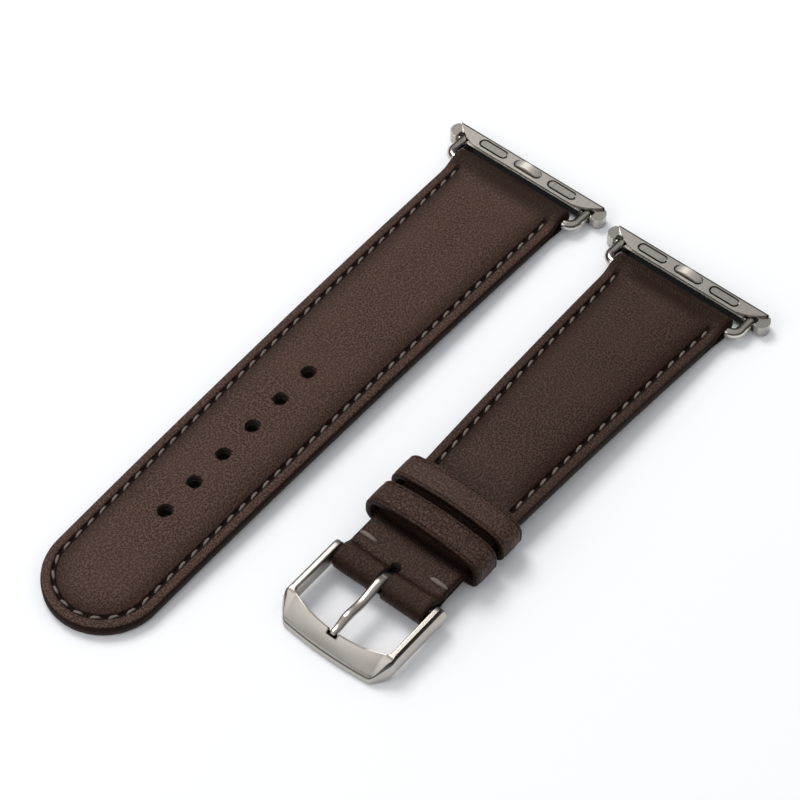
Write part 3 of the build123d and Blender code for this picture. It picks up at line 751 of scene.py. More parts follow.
def outer_leather_finish(name, shade, pebble, gloss):
    """Matte dark leather with fine pores, with painted shade beside the stitches, at the folds and round
    the keepers, a groove darkened partly by pressing and partly by painted shade, and a painted edge.
    """
    look = bpy.context.scene.strap_leather
    material, s = new_finish(name)
    place = s.object_place()
    sway = s.add("ShaderNodeTexNoise", None, {"Vector": place, "Scale": 700.0, "Detail": 1.0},
                 output="Color")
    bent = s.add("ShaderNodeVectorMath", {"operation": "MULTIPLY_ADD"},
                 {0: sway, 1: (0.0006, 0.0006, 0.0006), 2: place})
    pores = s.add("ShaderNodeTexVoronoi", {"feature": "F1", "voronoi_dimensions": "2D"},
                  {"Vector": bent, "Scale": 1.0 / look.grain_size})
    pebbles = s.add("ShaderNodeTexVoronoi", {"feature": "DISTANCE_TO_EDGE"},
                    {"Vector": bent, "Scale": 0.42 / look.grain_size})
    mottle = s.noise(place, 130.0, 3.0)
    creases = s.step(pebbles, 0.0, 0.16)
    open_skin = s.step(pores, 0.1, 0.6)
    height = open_skin * 0.7 + creases * pebble * 1.8
    groove_and_shadow, rim, rub_and_shade = s.marks()
    tone = s.blend(open_skin, shade_of(look.colour, 0.4 * shade), shade_of(look.colour, 1.35 * shade))
    tone = s.blend(s.step(mottle, 0.35, 0.7) * 0.3, tone, shade_of(look.colour, 1.25 * shade))
    tone = s.blend((1.0 - creases) * (0.8 * pebble), tone, shade_of(look.colour, 0.2 * shade))
    # Painted shade from the marks, and the rubbed edges of the keepers.
    tone = s.blend(rub_and_shade * 0.85, tone, rgb(look.rub_and_shade_colour))
    # The groove's colour: partly pressed leather, partly painted shade; also the painted shadow past the
    # fixed keeper and in the keepers' creases.
    tone = s.blend(s.step(groove_and_shadow, 0.08, 0.8) * 0.9, tone, rgb(look.groove_and_shadow_colour))
    tone = s.blend(s.step(rim, 0.1, 0.8), tone, rgb(look.edge_colour))
    rough = (0.62 - gloss) - open_skin * 0.06 + groove_and_shadow * 0.15 + rim * 0.15 - rub_and_shade * 0.14
    s.surface(Base_Color=tone, Roughness=rough, Specular_IOR_Level=0.1,
              Normal=s.bump(height, look.grain_strength, 0.14))
    return material


def lining_finish():
    """Smooth reddish-brown lining leather with a dark painted edge."""
    look = bpy.context.scene.strap_leather
    material, s = new_finish("lining leather")
    place = s.object_place()
    nap = s.noise(place, 1900.0, 3.0, 0.6)
    stain = s.noise(place, 90.0, 3.0)
    tone = s.blend(s.step(nap, 0.3, 0.7), shade_of(look.lining_colour, 0.75),
                   shade_of(look.lining_colour, 1.15))
    tone = s.blend(s.step(stain, 0.4, 0.75) * 0.4, tone, shade_of(look.lining_colour, 0.6))
    tone = s.blend(s.marks()[1] * 0.75, tone, rgb(look.edge_colour))
    s.surface(Base_Color=tone, Roughness=0.55 + nap * 0.2, Specular_IOR_Level=0.3,
              Normal=s.bump(nap, 0.35, 0.08))
    return material


def felt_finish():
    """Pale felt of the padding."""
    material, s = new_finish("felt padding")
    fibres = s.noise(s.object_place(stretch=(1.0, 0.4, 1.0)), 2600.0, 5.0, 0.7)
    tone = s.blend(s.step(fibres, 0.3, 0.7), (0.28, 0.24, 0.19, 1.0), (0.46, 0.41, 0.33, 1.0))
    s.surface(Base_Color=tone, Roughness=0.95, Normal=s.bump(fibres, 0.6, 0.15))
    return material


def punched_finish():
    """Raw cut leather inside the holes."""
    material, s = new_finish("cut leather")
    fibres = s.noise(s.object_place(stretch=(1.0, 1.0, 0.4)), 3500.0, 3.0, 0.7)
    tone = s.blend(s.step(fibres, 0.3, 0.7), (0.012, 0.007, 0.005, 1.0), (0.04, 0.026, 0.018, 1.0))
    s.surface(Base_Color=tone, Roughness=0.85, Normal=s.bump(fibres, 0.5, 0.1))
    return material


def thread_finish():
    """Waxed taupe thread, two plies twisted together."""
    material, s = new_finish("waxed thread")
    fuzz = s.noise(s.object_place(), 6500.0, 2.0)
    look = bpy.context.scene.strap_thread
    tone = s.blend(s.step(fuzz, 0.3, 0.7), shade_of(look.colour, 0.6), shade_of(look.colour, 1.2))
    s.surface(Base_Color=tone, Roughness=0.6, Normal=s.bump(fuzz, 0.4, 0.06))
    return material


def gap_shadow(s, half):
    """How deep a point lies in the dark gaps round the pads, the button and the far edge of a connector."""
    x, y, _ = s.parts(s.object_place(stretch=(1 / MM, 1 / MM, 1 / MM)))
    away = s.maths("ABSOLUTE", x - half.x)
    along = y - (half.y + DECK_LINE)
    apart = []
    for centre, straight in ((PAD_AT, PAD_STRAIGHT), (0.0, BUTTON_STRAIGHT)):
        beyond = s.maths("MAXIMUM", s.maths("ABSOLUTE", away - centre) - straight, 0.0)
        apart.append(s.maths("SQRT", beyond * beyond + along * along))
    nearest = s.maths("MINIMUM", *apart)
    ring = s.step(nearest, CAPSULE_RADIUS - 0.12, CAPSULE_RADIUS - 0.04)
    ring = ring * (1.0 - s.step(nearest, CAPSULE_RADIUS + 0.2, CAPSULE_RADIUS + 0.3))
    return s.maths("MAXIMUM", ring, s.step(along, DECK_FAR_EDGE - 0.28, DECK_FAR_EDGE - 0.2))


# Near-black colour of painted shade on the steel.
STEEL_SHADE = (0.012, 0.01, 0.009, 1.0)


def steel_finish(name, colour, roughness, brushed, edge=0.0, wall_shade=0.0, front_shade_of=None,
                 gap_shade_of=None):
    """Warm grey steel, finely brushed from front to back, with a painted dark reflection where it is
    marked.

    A bevel of the edge's size is shaded onto it. Painted shade can darken its walls, all but those to the
    front, and also the front of a half's connector and the gaps in its face.
    """
    material, s = new_finish(name)
    lines = s.noise(s.object_place(stretch=(3.0, 0.15, 1.2)), 1500.0, 3.0, 0.65)
    cloud = s.noise(s.object_place(), 260.0)
    tone = s.blend(s.step(lines, 0.25, 0.75), shade_of(colour, 1.0 - 0.3 * brushed),
                   shade_of(colour, 1.0 + 0.1 * brushed))
    # Painted dark reflection along the marked outer bevel of the buckle frame.
    tone = s.blend(s.marks()[0] * 0.85, tone, shade_of(colour, 0.12))
    _, front, facing = s.parts(s.add("ShaderNodeTexCoord", output="Normal"))
    # Painted shade on the walls.
    if wall_shade:
        wall = (1.0 - s.step(facing, 0.1, 0.6)) * s.step(front, -0.75, -0.45)
        tone = s.blend(wall * wall_shade, tone, STEEL_SHADE)
    # Painted shadow in the gaps round the pads and the button and along the deck's far edge.
    if gap_shade_of:
        tone = s.blend(gap_shadow(s, gap_shade_of) * 0.93, tone, STEEL_SHADE)
    # Painted shade on the connector's front, in the gap beside the leather.
    if front_shade_of:
        x, _, z = s.parts(s.object_place(stretch=(1 / MM, 1 / MM, 1 / MM)))
        away = s.maths("ABSOLUTE", x - front_shade_of.x)
        front_shade = 1.0 - s.step(away, FACE_HALF_WIDTH - 0.4, FACE_HALF_WIDTH)
        front_shade = front_shade * (1.0 - s.step(front, -0.5, -0.2))
        front_shade = front_shade * (1.0 - s.step(z, FACE_HEIGHT - 0.2, FACE_HEIGHT))
        tone = s.blend(front_shade, tone, (0.003, 0.002, 0.0018, 1.0))
    rough = roughness + (lines - 0.5) * (0.25 * brushed) + (cloud - 0.5) * 0.05
    bevel = {"Normal": s.add("ShaderNodeBevel", {"samples": 4}, {"Radius": edge * MM})} if edge else {}
    s.surface(Base_Color=tone, Metallic=1.0, Roughness=rough,
              Normal=s.bump(lines, 0.1 * brushed, 0.03, **bevel))
    return material


def dress(piece, *materials):
    """Give a piece its materials in order, in place of any it has."""
    while len(piece.material_slots) < len(materials):
        piece.data.materials.append(None)
    for slot, material in zip(piece.material_slots, materials):
        slot.material = material


def finish_of(name, maker, *values):
    """A finish by name, made the first time it is asked for."""
    return bpy.data.materials.get(name) or maker(*values)


# Settings

class StrapLeatherSettings(bpy.types.PropertyGroup):
    """Sizes and colours of the leather."""
    grain_size: FloatProperty(name="Grain size", description="Width of one pebble of the grain",
                              default=0.00037, min=0.0001, max=0.003, unit="LENGTH")
    grain_strength: FloatProperty(name="Grain strength", description="How deep the grain looks",
                                  default=0.5, min=0.0, max=1.0, subtype="FACTOR")
    groove_depth: FloatProperty(name="Groove depth", description="How deep the stitch groove is pressed",
                                default=0.0004, min=0.0, max=0.0006, unit="LENGTH")
    colour: FloatVectorProperty(name="Leather colour", description="Colour of the outer leather",
                                default=(0.0685, 0.0385, 0.0285), min=0.0, max=1.0, subtype="COLOR")
    # Colour of the painted shade on the leather, and of the keepers' rubbed edges.
    rub_and_shade_colour: FloatVectorProperty(name="Rub and shade colour",
                                       description="Colour beside the stitches and at the folds",
                                       default=(0.0165, 0.0058, 0.003), min=0.0, max=1.0, subtype="COLOR")
    # Colour in the stitch groove, partly painted shade; also used for the painted shadow past the fixed
    # keeper.
    groove_and_shadow_colour: FloatVectorProperty(name="Groove colour", description="Colour in the stitch groove",
                                       default=(0.006, 0.0024, 0.0016), min=0.0, max=1.0, subtype="COLOR")
    edge_colour: FloatVectorProperty(name="Edge colour", description="Colour of the painted edge",
                                     default=(0.013, 0.0050, 0.0026), min=0.0, max=1.0, subtype="COLOR")
    lining_colour: FloatVectorProperty(name="Lining colour", description="Colour of the lining",
                                       default=(0.045, 0.018, 0.0105), min=0.0, max=1.0, subtype="COLOR")


class StrapThreadSettings(bpy.types.PropertyGroup):
    """Size and colour of the stitches."""
    length: FloatProperty(name="Stitch length", description="Length of the thread seen at each stitch",
                          default=0.00175, min=0.0005, max=0.0028, unit="LENGTH")
    thickness: FloatProperty(name="Thread thickness", description="Width of the thread",
                             default=0.0005, min=0.0002, max=0.0009, unit="LENGTH")
    colour: FloatVectorProperty(name="Thread colour", description="Colour of the thread",
                                default=(0.17, 0.133, 0.11), min=0.0, max=1.0, subtype="COLOR")


class StrapMetalSettings(bpy.types.PropertyGroup):
    """Colours and polish of the metal."""
    buckle_colour: FloatVectorProperty(name="Buckle colour", description="Colour of the buckle's steel",
                                       default=(0.49, 0.455, 0.415), min=0.0, max=1.0, subtype="COLOR")
    connector_colour: FloatVectorProperty(name="Connector colour",
                                          description="Colour of the connectors' steel",
                                          default=(0.46, 0.435, 0.405), min=0.0, max=1.0, subtype="COLOR")
    bright_colour: FloatVectorProperty(name="Bright steel",
                                       description="Colour of the rings, buttons and spring bar",
                                       default=(0.62, 0.585, 0.54), min=0.0, max=1.0, subtype="COLOR")
    roughness: FloatProperty(name="Roughness", description="Roughness of the satin steel",
                             default=0.27, min=0.05, max=0.9, subtype="FACTOR")


class StrapStageSettings(bpy.types.PropertyGroup):
    """Floor and lamps."""
    floor_colour: FloatVectorProperty(name="Floor colour", description="Colour of the floor",
                                      default=(0.97, 0.97, 0.98), min=0.0, max=1.0, subtype="COLOR")
    key_power: FloatProperty(name="Key lamp", description="Power of the key lamp",
                             default=4.6, min=0.0, max=100.0, unit="POWER")
    fill_power: FloatProperty(name="Fill lamp", description="Power of the fill lamp",
                              default=2.2, min=0.0, max=100.0, unit="POWER")


# Operators

class STRAP_OT_stage(bpy.types.Operator):
    """Adds the floor, the lamps, the world and the camera"""
    bl_idname = "strap.stage"
    bl_label = "Stage, Lamps and Camera"

    def execute(self, context):
        settings = context.scene.strap_stage
        deselect_all()
        bpy.ops.mesh.primitive_plane_add(size=6.0, location=(0, 0, FLOOR_HEIGHT * MM))
        floor = context.object
        floor.name = "floor"
        material, s = new_finish("studio floor")
        tint = s.noise(s.object_place(), 3.0)
        tone = s.blend(tint * 0.05, rgb(settings.floor_colour), (0.96, 0.96, 0.97, 1.0))
        plain = s.add("ShaderNodeBsdfDiffuse", None, {"Color": tone})
        s.add("ShaderNodeOutputMaterial", None, {"Surface": plain})
        dress(floor, material)
        self.add_world(context.scene)
        self.add_lamp("key lamp", (-0.52, 0.2, 0.78), 0.42, settings.key_power, (1.0, 0.985, 0.96))
        self.add_lamp("front lamp", (-0.38, -0.76, 0.55), 0.75, settings.fill_power, (0.98, 0.99, 1.0))
        self.add_camera(context.scene)
        return {"FINISHED"}

    def add_world(self, scene):
        world = bpy.data.worlds.new("studio")
        scene.world = world
        s = Shader(world)
        path = s.add("ShaderNodeLightPath", output="Is Camera Ray")
        glossy = Value(s, path.socket.node.outputs["Is Glossy Ray"])
        lift = s.parts(s.add("ShaderNodeTexCoord", output="Generated"))[2]
        sky = s.add("ShaderNodeValToRGB", {"stops": [
            (0.0, (0.3, 0.29, 0.28)), (0.15, (0.05, 0.047, 0.044)), (0.45, (0.06, 0.057, 0.054)),
            (0.62, (0.3, 0.29, 0.285)), (0.8, (0.4, 0.395, 0.39)), (1.0, (0.42, 0.415, 0.41))]},
                    {"Fac": lift})
        light = s.add("ShaderNodeBackground", None, {"Color": (0.92, 0.95, 1.0, 1.0), "Strength": 0.61})
        reflected = s.add("ShaderNodeBackground", None, {"Color": sky, "Strength": 1.0})
        white = s.add("ShaderNodeBackground", None, {"Color": (1.0, 1.0, 1.0, 1.0), "Strength": 1.0})
        shaded = s.add("ShaderNodeMixShader", None, {0: glossy, 1: light, 2: reflected})
        both = s.add("ShaderNodeMixShader", None, {0: path, 1: shaded, 2: white})
        s.add("ShaderNodeOutputWorld", None, {"Surface": both})

    def add_lamp(self, name, place, size, power, colour):
        deselect_all()
        bpy.ops.object.light_add(type="AREA", location=place)
        lamp = bpy.context.object
        lamp.name = name
        lamp.rotation_euler = (-Vector(place)).to_track_quat("-Z", "Y").to_euler()
        lamp.data.shape = "SQUARE"
        lamp.data.size, lamp.data.energy, lamp.data.color = size, power, colour

    def add_camera(self, scene):
        right = (0.77773291, 0.62852009, 0.00969652)
        up = (-0.50437701, 0.61476323, 0.60635798)
        back = (0.37514711, -0.47647526, 0.79513268)
        place = (0.19098, -0.24111, 0.41445)
        rows = [(right[i], up[i], back[i], place[i]) for i in range(3)]
        deselect_all()
        bpy.ops.object.camera_add()
        camera = bpy.context.object
        camera.name = "camera"
        camera.matrix_world = Matrix((*rows, (0, 0, 0, 1)))
        camera.data.lens, camera.data.sensor_width = 144.0, 36.0
        camera.data.clip_start, camera.data.clip_end = 0.01, 20.0
        scene.camera = camera


def leather_layers(half, cutter, lining_far=None):
    """Outer leather, lining and padding of one half. The cutter goes through what it meets."""
    outer = mirrored_half(half.name + "_leather", half, leather_rails(half), leather_section)
    lining = mirrored_half(half.name + "_lining_skin", half, flat_rails(half, TURN_UNDER, lining_far),
                           lining_section)
    padding = mirrored_half(half.name + "_felt", half, flat_rails(half, PADDING_START, SHORT_PADDING_END),
                            padding_section)
    name = half.name + " leather"
    # The buckle half's darker copy of the leather is partly painted shade, for how the light falls on it,
    # and partly a different tone of hide.
    shade, pebble, gloss = (1.0, 0.0, 0.0) if half.has_tip else (0.74, 0.12, 0.08)
    dress(outer, finish_of(name, outer_leather_finish, name, shade, pebble, gloss))
    dress(lining, finish_of("lining leather", lining_finish))
    dress(padding, finish_of("felt padding", felt_finish))
    dress(cutter, finish_of("cut leather", punched_finish))
    for piece in (outer, lining, padding) if half.has_tip else (outer,):
        cut_away(piece, cutter)
    bpy.data.objects.remove(cutter)
    if half.has_tip:
        soften_rims(outer)
    for piece, node, finish in ((outer, "_outer_leather", "outer_leather"),
                                (lining, "_lining", "lining_leather"),
                                (padding, "_padding", "padding")):
        smooth_by_angle(piece, 42.0)
        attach(piece, half.strap_body)
        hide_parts(half.name + node)


class STRAP_OT_tail_leather(bpy.types.Operator):
    """Models the leather, lining and padding of the half with the holes"""
    bl_idname = "strap.tail_leather"
    bl_label = "Tail Half Leather"

    def execute(self, context):
        leather_layers(TAIL, hole_cutters())
        return {"FINISHED"}


class STRAP_OT_buckle_leather(bpy.types.Operator):
    """Models the leather, lining and padding of the half with the buckle"""
    bl_idname = "strap.buckle_leather"
    bl_label = "Buckle Half Leather"

    def execute(self, context):
        leather_layers(SHORT, slot_cutter(), SHORT_LENGTH - SHORT_TURN_UNDER)
        return {"FINISHED"}


def stitch_form():
    """One arched two-ply stitch along Y, ends dipping into the leather."""
    thread = bpy.context.scene.strap_thread
    deselect_all()
    bpy.ops.mesh.primitive_cylinder_add(vertices=8, radius=1.0, depth=2.0, end_fill_type="NGON",
                                        rotation=(math.pi / 2, 0, 0))
    piece = bpy.context.object
    settle(piece)
    bpy.ops.object.mode_set(mode="EDIT")
    for place in (-0.88, -0.6, -0.2, 0.2, 0.6, 0.88):
        bpy.ops.mesh.select_all(action="SELECT")
        bpy.ops.mesh.bisect(plane_co=(0, place, 0), plane_no=(0, 1, 0))
    bpy.ops.object.mode_set(mode="OBJECT")
    for vertex in piece.data.vertices:
        along = vertex.co.y
        angle = math.atan2(vertex.co.z, vertex.co.x)
        full = (1 - abs(along) ** 5) ** 0.5 if abs(along) < 1 else 0.0
        lobes = 1 + 0.1 * math.cos(2 * (angle - 2.6 * along))
        reach = thread.thickness / 2 * max(0.3, full) * lobes
        vertex.co.x = reach * math.cos(angle)
        vertex.co.z = reach * math.sin(angle) * 0.85 - 0.0003 * abs(along) ** 3.2
        vertex.co.y = along * thread.length / 2
    return piece


def sew(form, half, x, y, turn, stretch=1.0, lift=-0.16, swell=1.0):
    """A copy of the stitch, laid in the groove."""
    piece = form.copy()
    piece.data = form.data.copy()
    bpy.context.collection.objects.link(piece)
    seat = half.arch.height(y, EDGE + lift)
    place = Matrix.Translation(Vector((x + half.x, y + half.y, seat)) * MM)
    lay = Matrix.Rotation(half.arch.tilt(y), 4, "X") @ Matrix.Rotation(turn, 4, "Z")
    piece.data.transform(place @ lay @ Matrix.Diagonal((swell, stretch, swell, 1.0)))
    return piece


STITCH_SLANT = math.radians(-8)


class STRAP_OT_stitching(bpy.types.Operator):
    """Sews the rows of stitches of both halves"""
    bl_idname = "strap.stitching"
    bl_label = "Stitching"

    def execute(self, context):
        form = stitch_form()
        for half in (TAIL, SHORT):
            stitches = []
            for number in range(half.stitch_count):
                y = -STITCH_START - number * half.stitch_step
                reach = half.half_width(y) - STITCH_LINE
                ahead = half.half_width(y - half.stitch_step)
                slope = math.atan2(half.half_width(y) - ahead, half.stitch_step)
                for side in (-1, 1):
                    stitches.append(sew(form, half, side * reach, y, -side * slope - STITCH_SLANT))
            if half.has_tip:
                reach = TIP_RADIUS - STITCH_LINE
                for number in range(TIP_STITCHES):
                    turn = math.pi * number / (TIP_STITCHES - 1)
                    x, y = reach * math.cos(turn), -half.straight_end - reach * math.sin(turn)
                    stitches.append(sew(form, half, x, y, -turn - STITCH_SLANT))
            else:
                stitches += self.tacks(form, half)
            row = join(stitches, half.name + "_thread")
            dress(row, finish_of("waxed thread", thread_finish))
            smooth_by_angle(row, 60.0)
            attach(row, half.strap_body)
            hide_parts(half.name + "_stitching")
        bpy.data.objects.remove(form)
        return {"FINISHED"}

    def tacks(self, form, half):
        y = -SHORT_LENGTH + TACK_FROM_BAR
        reach = half.half_width(y) - 0.2 - TACK_LENGTH / 2
        stretch = TACK_LENGTH / (bpy.context.scene.strap_thread.length / MM)
        return [sew(form, half, side * reach, y, math.pi / 2, stretch, 0.2, 1.6) for side in (-1, 1)]


def keeper_outline():
    """Inside of a keeper from the bottom middle to the top middle: places and outward directions."""
    corner = KEEPER_CORNER
    points = [(KEEPER_SIDE * share, 0.0, 0.0, -1.0) for share in (0.0, 0.25, 0.5, 0.75, 0.88)]
    centre = KEEPER_SIDE - corner
    for i in range(9):
        angle = math.pi / 2 * i / 8
        points.append((centre + corner * math.sin(angle), corner - corner * math.cos(angle),
                       math.sin(angle), -math.cos(angle)))
    sagitta = KEEPER_CREST - KEEPER_SHOULDER
    radius = (KEEPER_SIDE ** 2 + sagitta ** 2) / (2 * sagitta)
    arc_z = KEEPER_CREST - radius
    # centre of the shoulder's rounding: inside the side line and inside the top arc
    turn = KEEPER_SHOULDER_ROUND
    x = KEEPER_SIDE - turn
    z = arc_z + math.sqrt((radius - turn) ** 2 - x ** 2)
    points += [(KEEPER_SIDE, mix(corner, z, share), 1.0, 0.0) for share in (0.33, 0.66)]
    lean = math.atan2(x, z - arc_z)
    for i in range(11):
        angle = mix(math.pi / 2, lean, i / 10)
        sine, cosine = math.sin(angle), math.cos(angle)
        points.append((x + turn * sine, z + turn * cosine, sine, cosine))
    for i in range(1, 25):
        angle = lean * (1 - i / 24)
        sine, cosine = math.sin(angle), math.cos(angle)
        points.append((radius * sine, arc_z + radius * cosine, sine, cosine))
    return points


# Keeper strip in section: place along the strap and height over its inside, both as shares
KEEPER_STRIP = (
    (0.0, 0.0), (0.5, 0.0), (0.85, 0.0), (0.95, 0.04), (1.0, 0.16), (1.0, 0.5), (0.99, 0.78), (0.95, 0.93),
    (0.88, 1.0), (0.82, 1.0), (0.79, 0.93), (0.765, 0.88), (0.74, 0.93), (0.71, 1.0), (0.5, 1.03),
    (0.25, 1.04))


def keeper_table():
    loop = list(KEEPER_STRIP) + [(0.0, 1.04)]
    loop += [(-y, t) for y, t in reversed(loop[1:-1])]
    loop.append(loop[0])
    table = []
    for x, z, out_x, out_z in keeper_outline():
        row = []
        for along, height in loop:
            lift = KEEPER_WALL * height
            # The keepers' creases get painted shade through the groove mark; their edges are rubbed.
            crease_shade = 1.0 if 0.85 < height < 0.9 and 0.7 < abs(along) < 0.8 else 0.0
            rim = 0.7 if abs(along) > 0.97 else 0.25 if abs(along) > 0.94 else 0.0
            rub_and_shade = 0.45 if abs(along) > 0.8 else 0.0
            place = (x + out_x * lift, along * KEEPER_WIDTH / 2, z + out_z * lift)
            row.append((place, (crease_shade, rim, rub_and_shade)))
        table.append(row)
    return table


class STRAP_OT_keepers(bpy.types.Operator):
    """Models the fixed and the free keeper"""
    bl_idname = "strap.keepers"
    bl_label = "Keepers"

    def execute(self, context):
        for name, y, body, pebble in (("free_keeper", -FREE_KEEPER_AT, "free_keeper", 0.05),
                                      ("fixed_keeper", -FIXED_KEEPER_AT, "buckle_strap", 0.7)):
            lowest = min(SHORT.arch.height(y + side * KEEPER_WIDTH / 2) for side in (-1, 1))
            piece = draped_grid(name + "_loop", keeper_table(), (0.0, 0.0))
            mirror(piece)
            shift(piece, SHORT.x, SHORT.y + y, lowest - KEEPER_SEAT_GAPS[name])
            stitch_mesh_up(piece, fill=False)
            smooth_by_angle(piece, 50.0)
            dress(piece, outer_leather_finish(name + " leather", 0.9, pebble, 0.14))
            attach(piece, body)
            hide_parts(name)
        return {"FINISHED"}


def window_edge(x):
    """Front edge of the window, in plan."""
    return WINDOW_CENTRE - math.sqrt(WINDOW_RADIUS ** 2 - x ** 2)


def front_edge(x):
    """Front edge of the frame, in plan."""
    return FRONT_MIDDLE + FRONT_BULGE * (x / FRONT_SIDE) ** 2


def frame_top(x, y):
    """Height of the frame's top: level arms, then a convex plate falling from the window to the front."""
    window, front = window_edge(min(abs(x), WINDOW_SIDE)), front_edge(x)
    high = ARM_TOP - PLATE_DROP * smooth((PLATE_START - window) / CORNER_FADE)
    share = min(1.0, max(0.0, (window - y) / (window - front)))
    return mix(high, FRONT_LIP, share ** 1.3)


def frame_foot(y):
    """Height of the frame's underside: level arms, then down to the table."""
    return ARM_FOOT * (1 - smooth((FOOT_START - y) / CORNER_FADE))


# Outer edge of the frame in plan, round its cut corner
CORNER_PATH = ((ARM_OUTER, -9.75), (ARM_OUTER, -10.4), (11.08, -10.9), (10.98, -11.35), (10.76, -11.8),
               (10.3, -12.4), (9.8, -13.0), (9.3, -13.58), (9.0, -13.92), (8.68, -14.2), (8.28, -14.38),
               (FRONT_SIDE, -14.45))


def frame_stations():
    """Places along one side of the frame: inner and outer edge in plan, and how full its height is."""
    rows = []
    for step in range(10):
        reach = math.cos(math.pi / 2 * step / 9) * 0.998
        y = ARM_BACK + ARM_ROUND * reach
        rows.append(((ARM_INNER, y), (ARM_OUTER, y), (1 - reach ** 2.4) ** (1 / 2.4)))
    rows += [((ARM_INNER, y), (ARM_OUTER, y), 1.0) for y in (-1.5, -3.5, -5.5, -7.2, -8.4, -9.2)]
    corner_x, corner_y = WINDOW_CORNER_AT
    for number, outer in enumerate(CORNER_PATH):
        angle = math.radians(69.4) * number / (len(CORNER_PATH) - 1)
        rows.append(((corner_x + WINDOW_CORNER_RADIUS * math.cos(angle),
                      corner_y - WINDOW_CORNER_RADIUS * math.sin(angle)), outer, 1.0))
    inner_x = rows[-1][0][0]
    for step in range(1, 15):
        share = 1 - step / 14
        x, front_x = inner_x * share, FRONT_SIDE * share
        rows.append(((x, window_edge(x)), (front_x, front_edge(front_x)), 1.0))
    return rows


def frame_loop(inner, outer, squeeze):
    """Section of the frame: wall of the window, bevel, top facet, outer side and foot."""
    inner, outer = Vector(inner), Vector(outer)
    across = outer - inner
    width = across.length

    def at(away, rise, from_foot=False, polished=0.0):
        place = inner + across * (away / width)
        z = frame_foot(place.y) + rise if from_foot else frame_top(*place) - rise
        z = mix(SPRING_BAR_HEIGHT, z, squeeze)
        return (place.x, place.y - SHORT_LENGTH, z), (polished, 0.0, 0.0)

    tall = frame_top(*outer) - frame_foot(outer.y)
    lean = mix(0.3, 1.0, (tall - FRONT_LIP) / 1.95)
    loop = [at(0.3, 0.0, True), at(0.06, 0.08, True), at(0.0, 0.3, True), at(0.0, 0.42), at(0.04, 0.28),
            at(0.22, 0.04), at(0.33, 0.0)]
    far = width - 0.86 * lean
    loop += [at(mix(0.33, far, share), 0.0) for share in (0.12, 0.3, 0.5, 0.7, 0.88, 1.0)]
    # The outer bevel below the top facet carries a painted dark reflection.
    loop += [at(width - 0.84 * lean, 0.01, polished=1.0),
             at(width - 0.4 * lean, 0.145 * tall, polished=1.0)]
    loop += [at(width - back * lean, drop * tall)
             for back, drop in ((0.38, 0.16), (0.08, 0.58), (0.0, 0.72))]
    loop += [at(width, 0.14 * tall, True), at(width - 0.07, 0.05 * tall, True), at(width - 0.3, 0.0, True),
             at(0.66 * width, 0.0, True), at(0.4 * width, 0.0, True)]
    return loop + loop[:1]


class STRAP_OT_buckle(bpy.types.Operator):
    """Models the buckle's frame, with its notch and the holes for the spring bar"""
    bl_idname = "strap.buckle"
    bl_label = "Buckle Frame"

    def execute(self, context):
        look = context.scene.strap_metal
        piece = draped_grid("buckle_body", [frame_loop(*row) for row in frame_stations()], (0.0, SHORT.y))
        mirror(piece)
        shift(piece, SHORT.x)
        stitch_mesh_up(piece)
        bar = Vector((SHORT.x, SHORT.y - SHORT_LENGTH, SPRING_BAR_HEIGHT))
        holes = cylinder(TIP_HOLE_RADIUS, 2 * (ARM_INNER + TIP_HOLE_DEPTH), bar, 32, (0, math.pi / 2, 0))
        cut_away(piece, holes)
        deselect_all()
        place = Vector((bar.x, bar.y - NOTCH_AT, NOTCH_FLOOR + NOTCH_SIZE[2] / 2))
        bpy.ops.mesh.primitive_cube_add(size=1.0, location=place * MM, scale=Vector(NOTCH_SIZE) * MM)
        notch = context.object
        settle(notch)
        apply_modifier(notch, "BEVEL", width=NOTCH_ROUND * MM, segments=3)
        dress(piece, steel_finish("buckle steel", look.buckle_colour, look.roughness + 0.05, 0.16))
        # The notch's walls are lined with near-black steel, painted shade in the recess.
        dress(notch, steel_finish("notch steel", shade_of(look.buckle_colour, 0.1)[:3], 0.5, 0.2))
        cut_away(piece, notch)
        for cutter in (holes, notch):
            bpy.data.objects.remove(cutter)
        smooth_by_angle(piece, 24.0)
        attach(piece, "buckle")
        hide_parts("buckle_frame")
        return {"FINISHED"}


# Centre line of the tongue's blade: distance in front of the spring bar and height
TONGUE_LINE = (
    (0.0, 4.66), (1.0, 4.86), (2.0, 4.84), (3.2, 4.58), (4.4, 4.3), (5.4, 4.16), (6.4, 4.2), (7.6, 4.36),
    (8.7, 4.44), (9.7, 4.36), (10.6, 4.1), (11.4, 3.86), (12.1, 3.76), (12.7, 3.74))


def eased(points, steps):
    """More points on the smooth line through some points."""
    line = []
    last = len(points) - 1
    for i in range(last):
        a, b, c, d = (Vector(points[min(last, max(0, k))]) for k in (i - 1, i, i + 1, i + 2))
        for step in range(steps):
            t = step / steps
            line.append((b * 2 + (c - a) * t + (a * 2 - b * 5 + c * 4 - d) * t ** 2
                         + (b * 3 - a - c * 3 + d) * t ** 3) / 2)
    return line + [Vector(points[-1])]


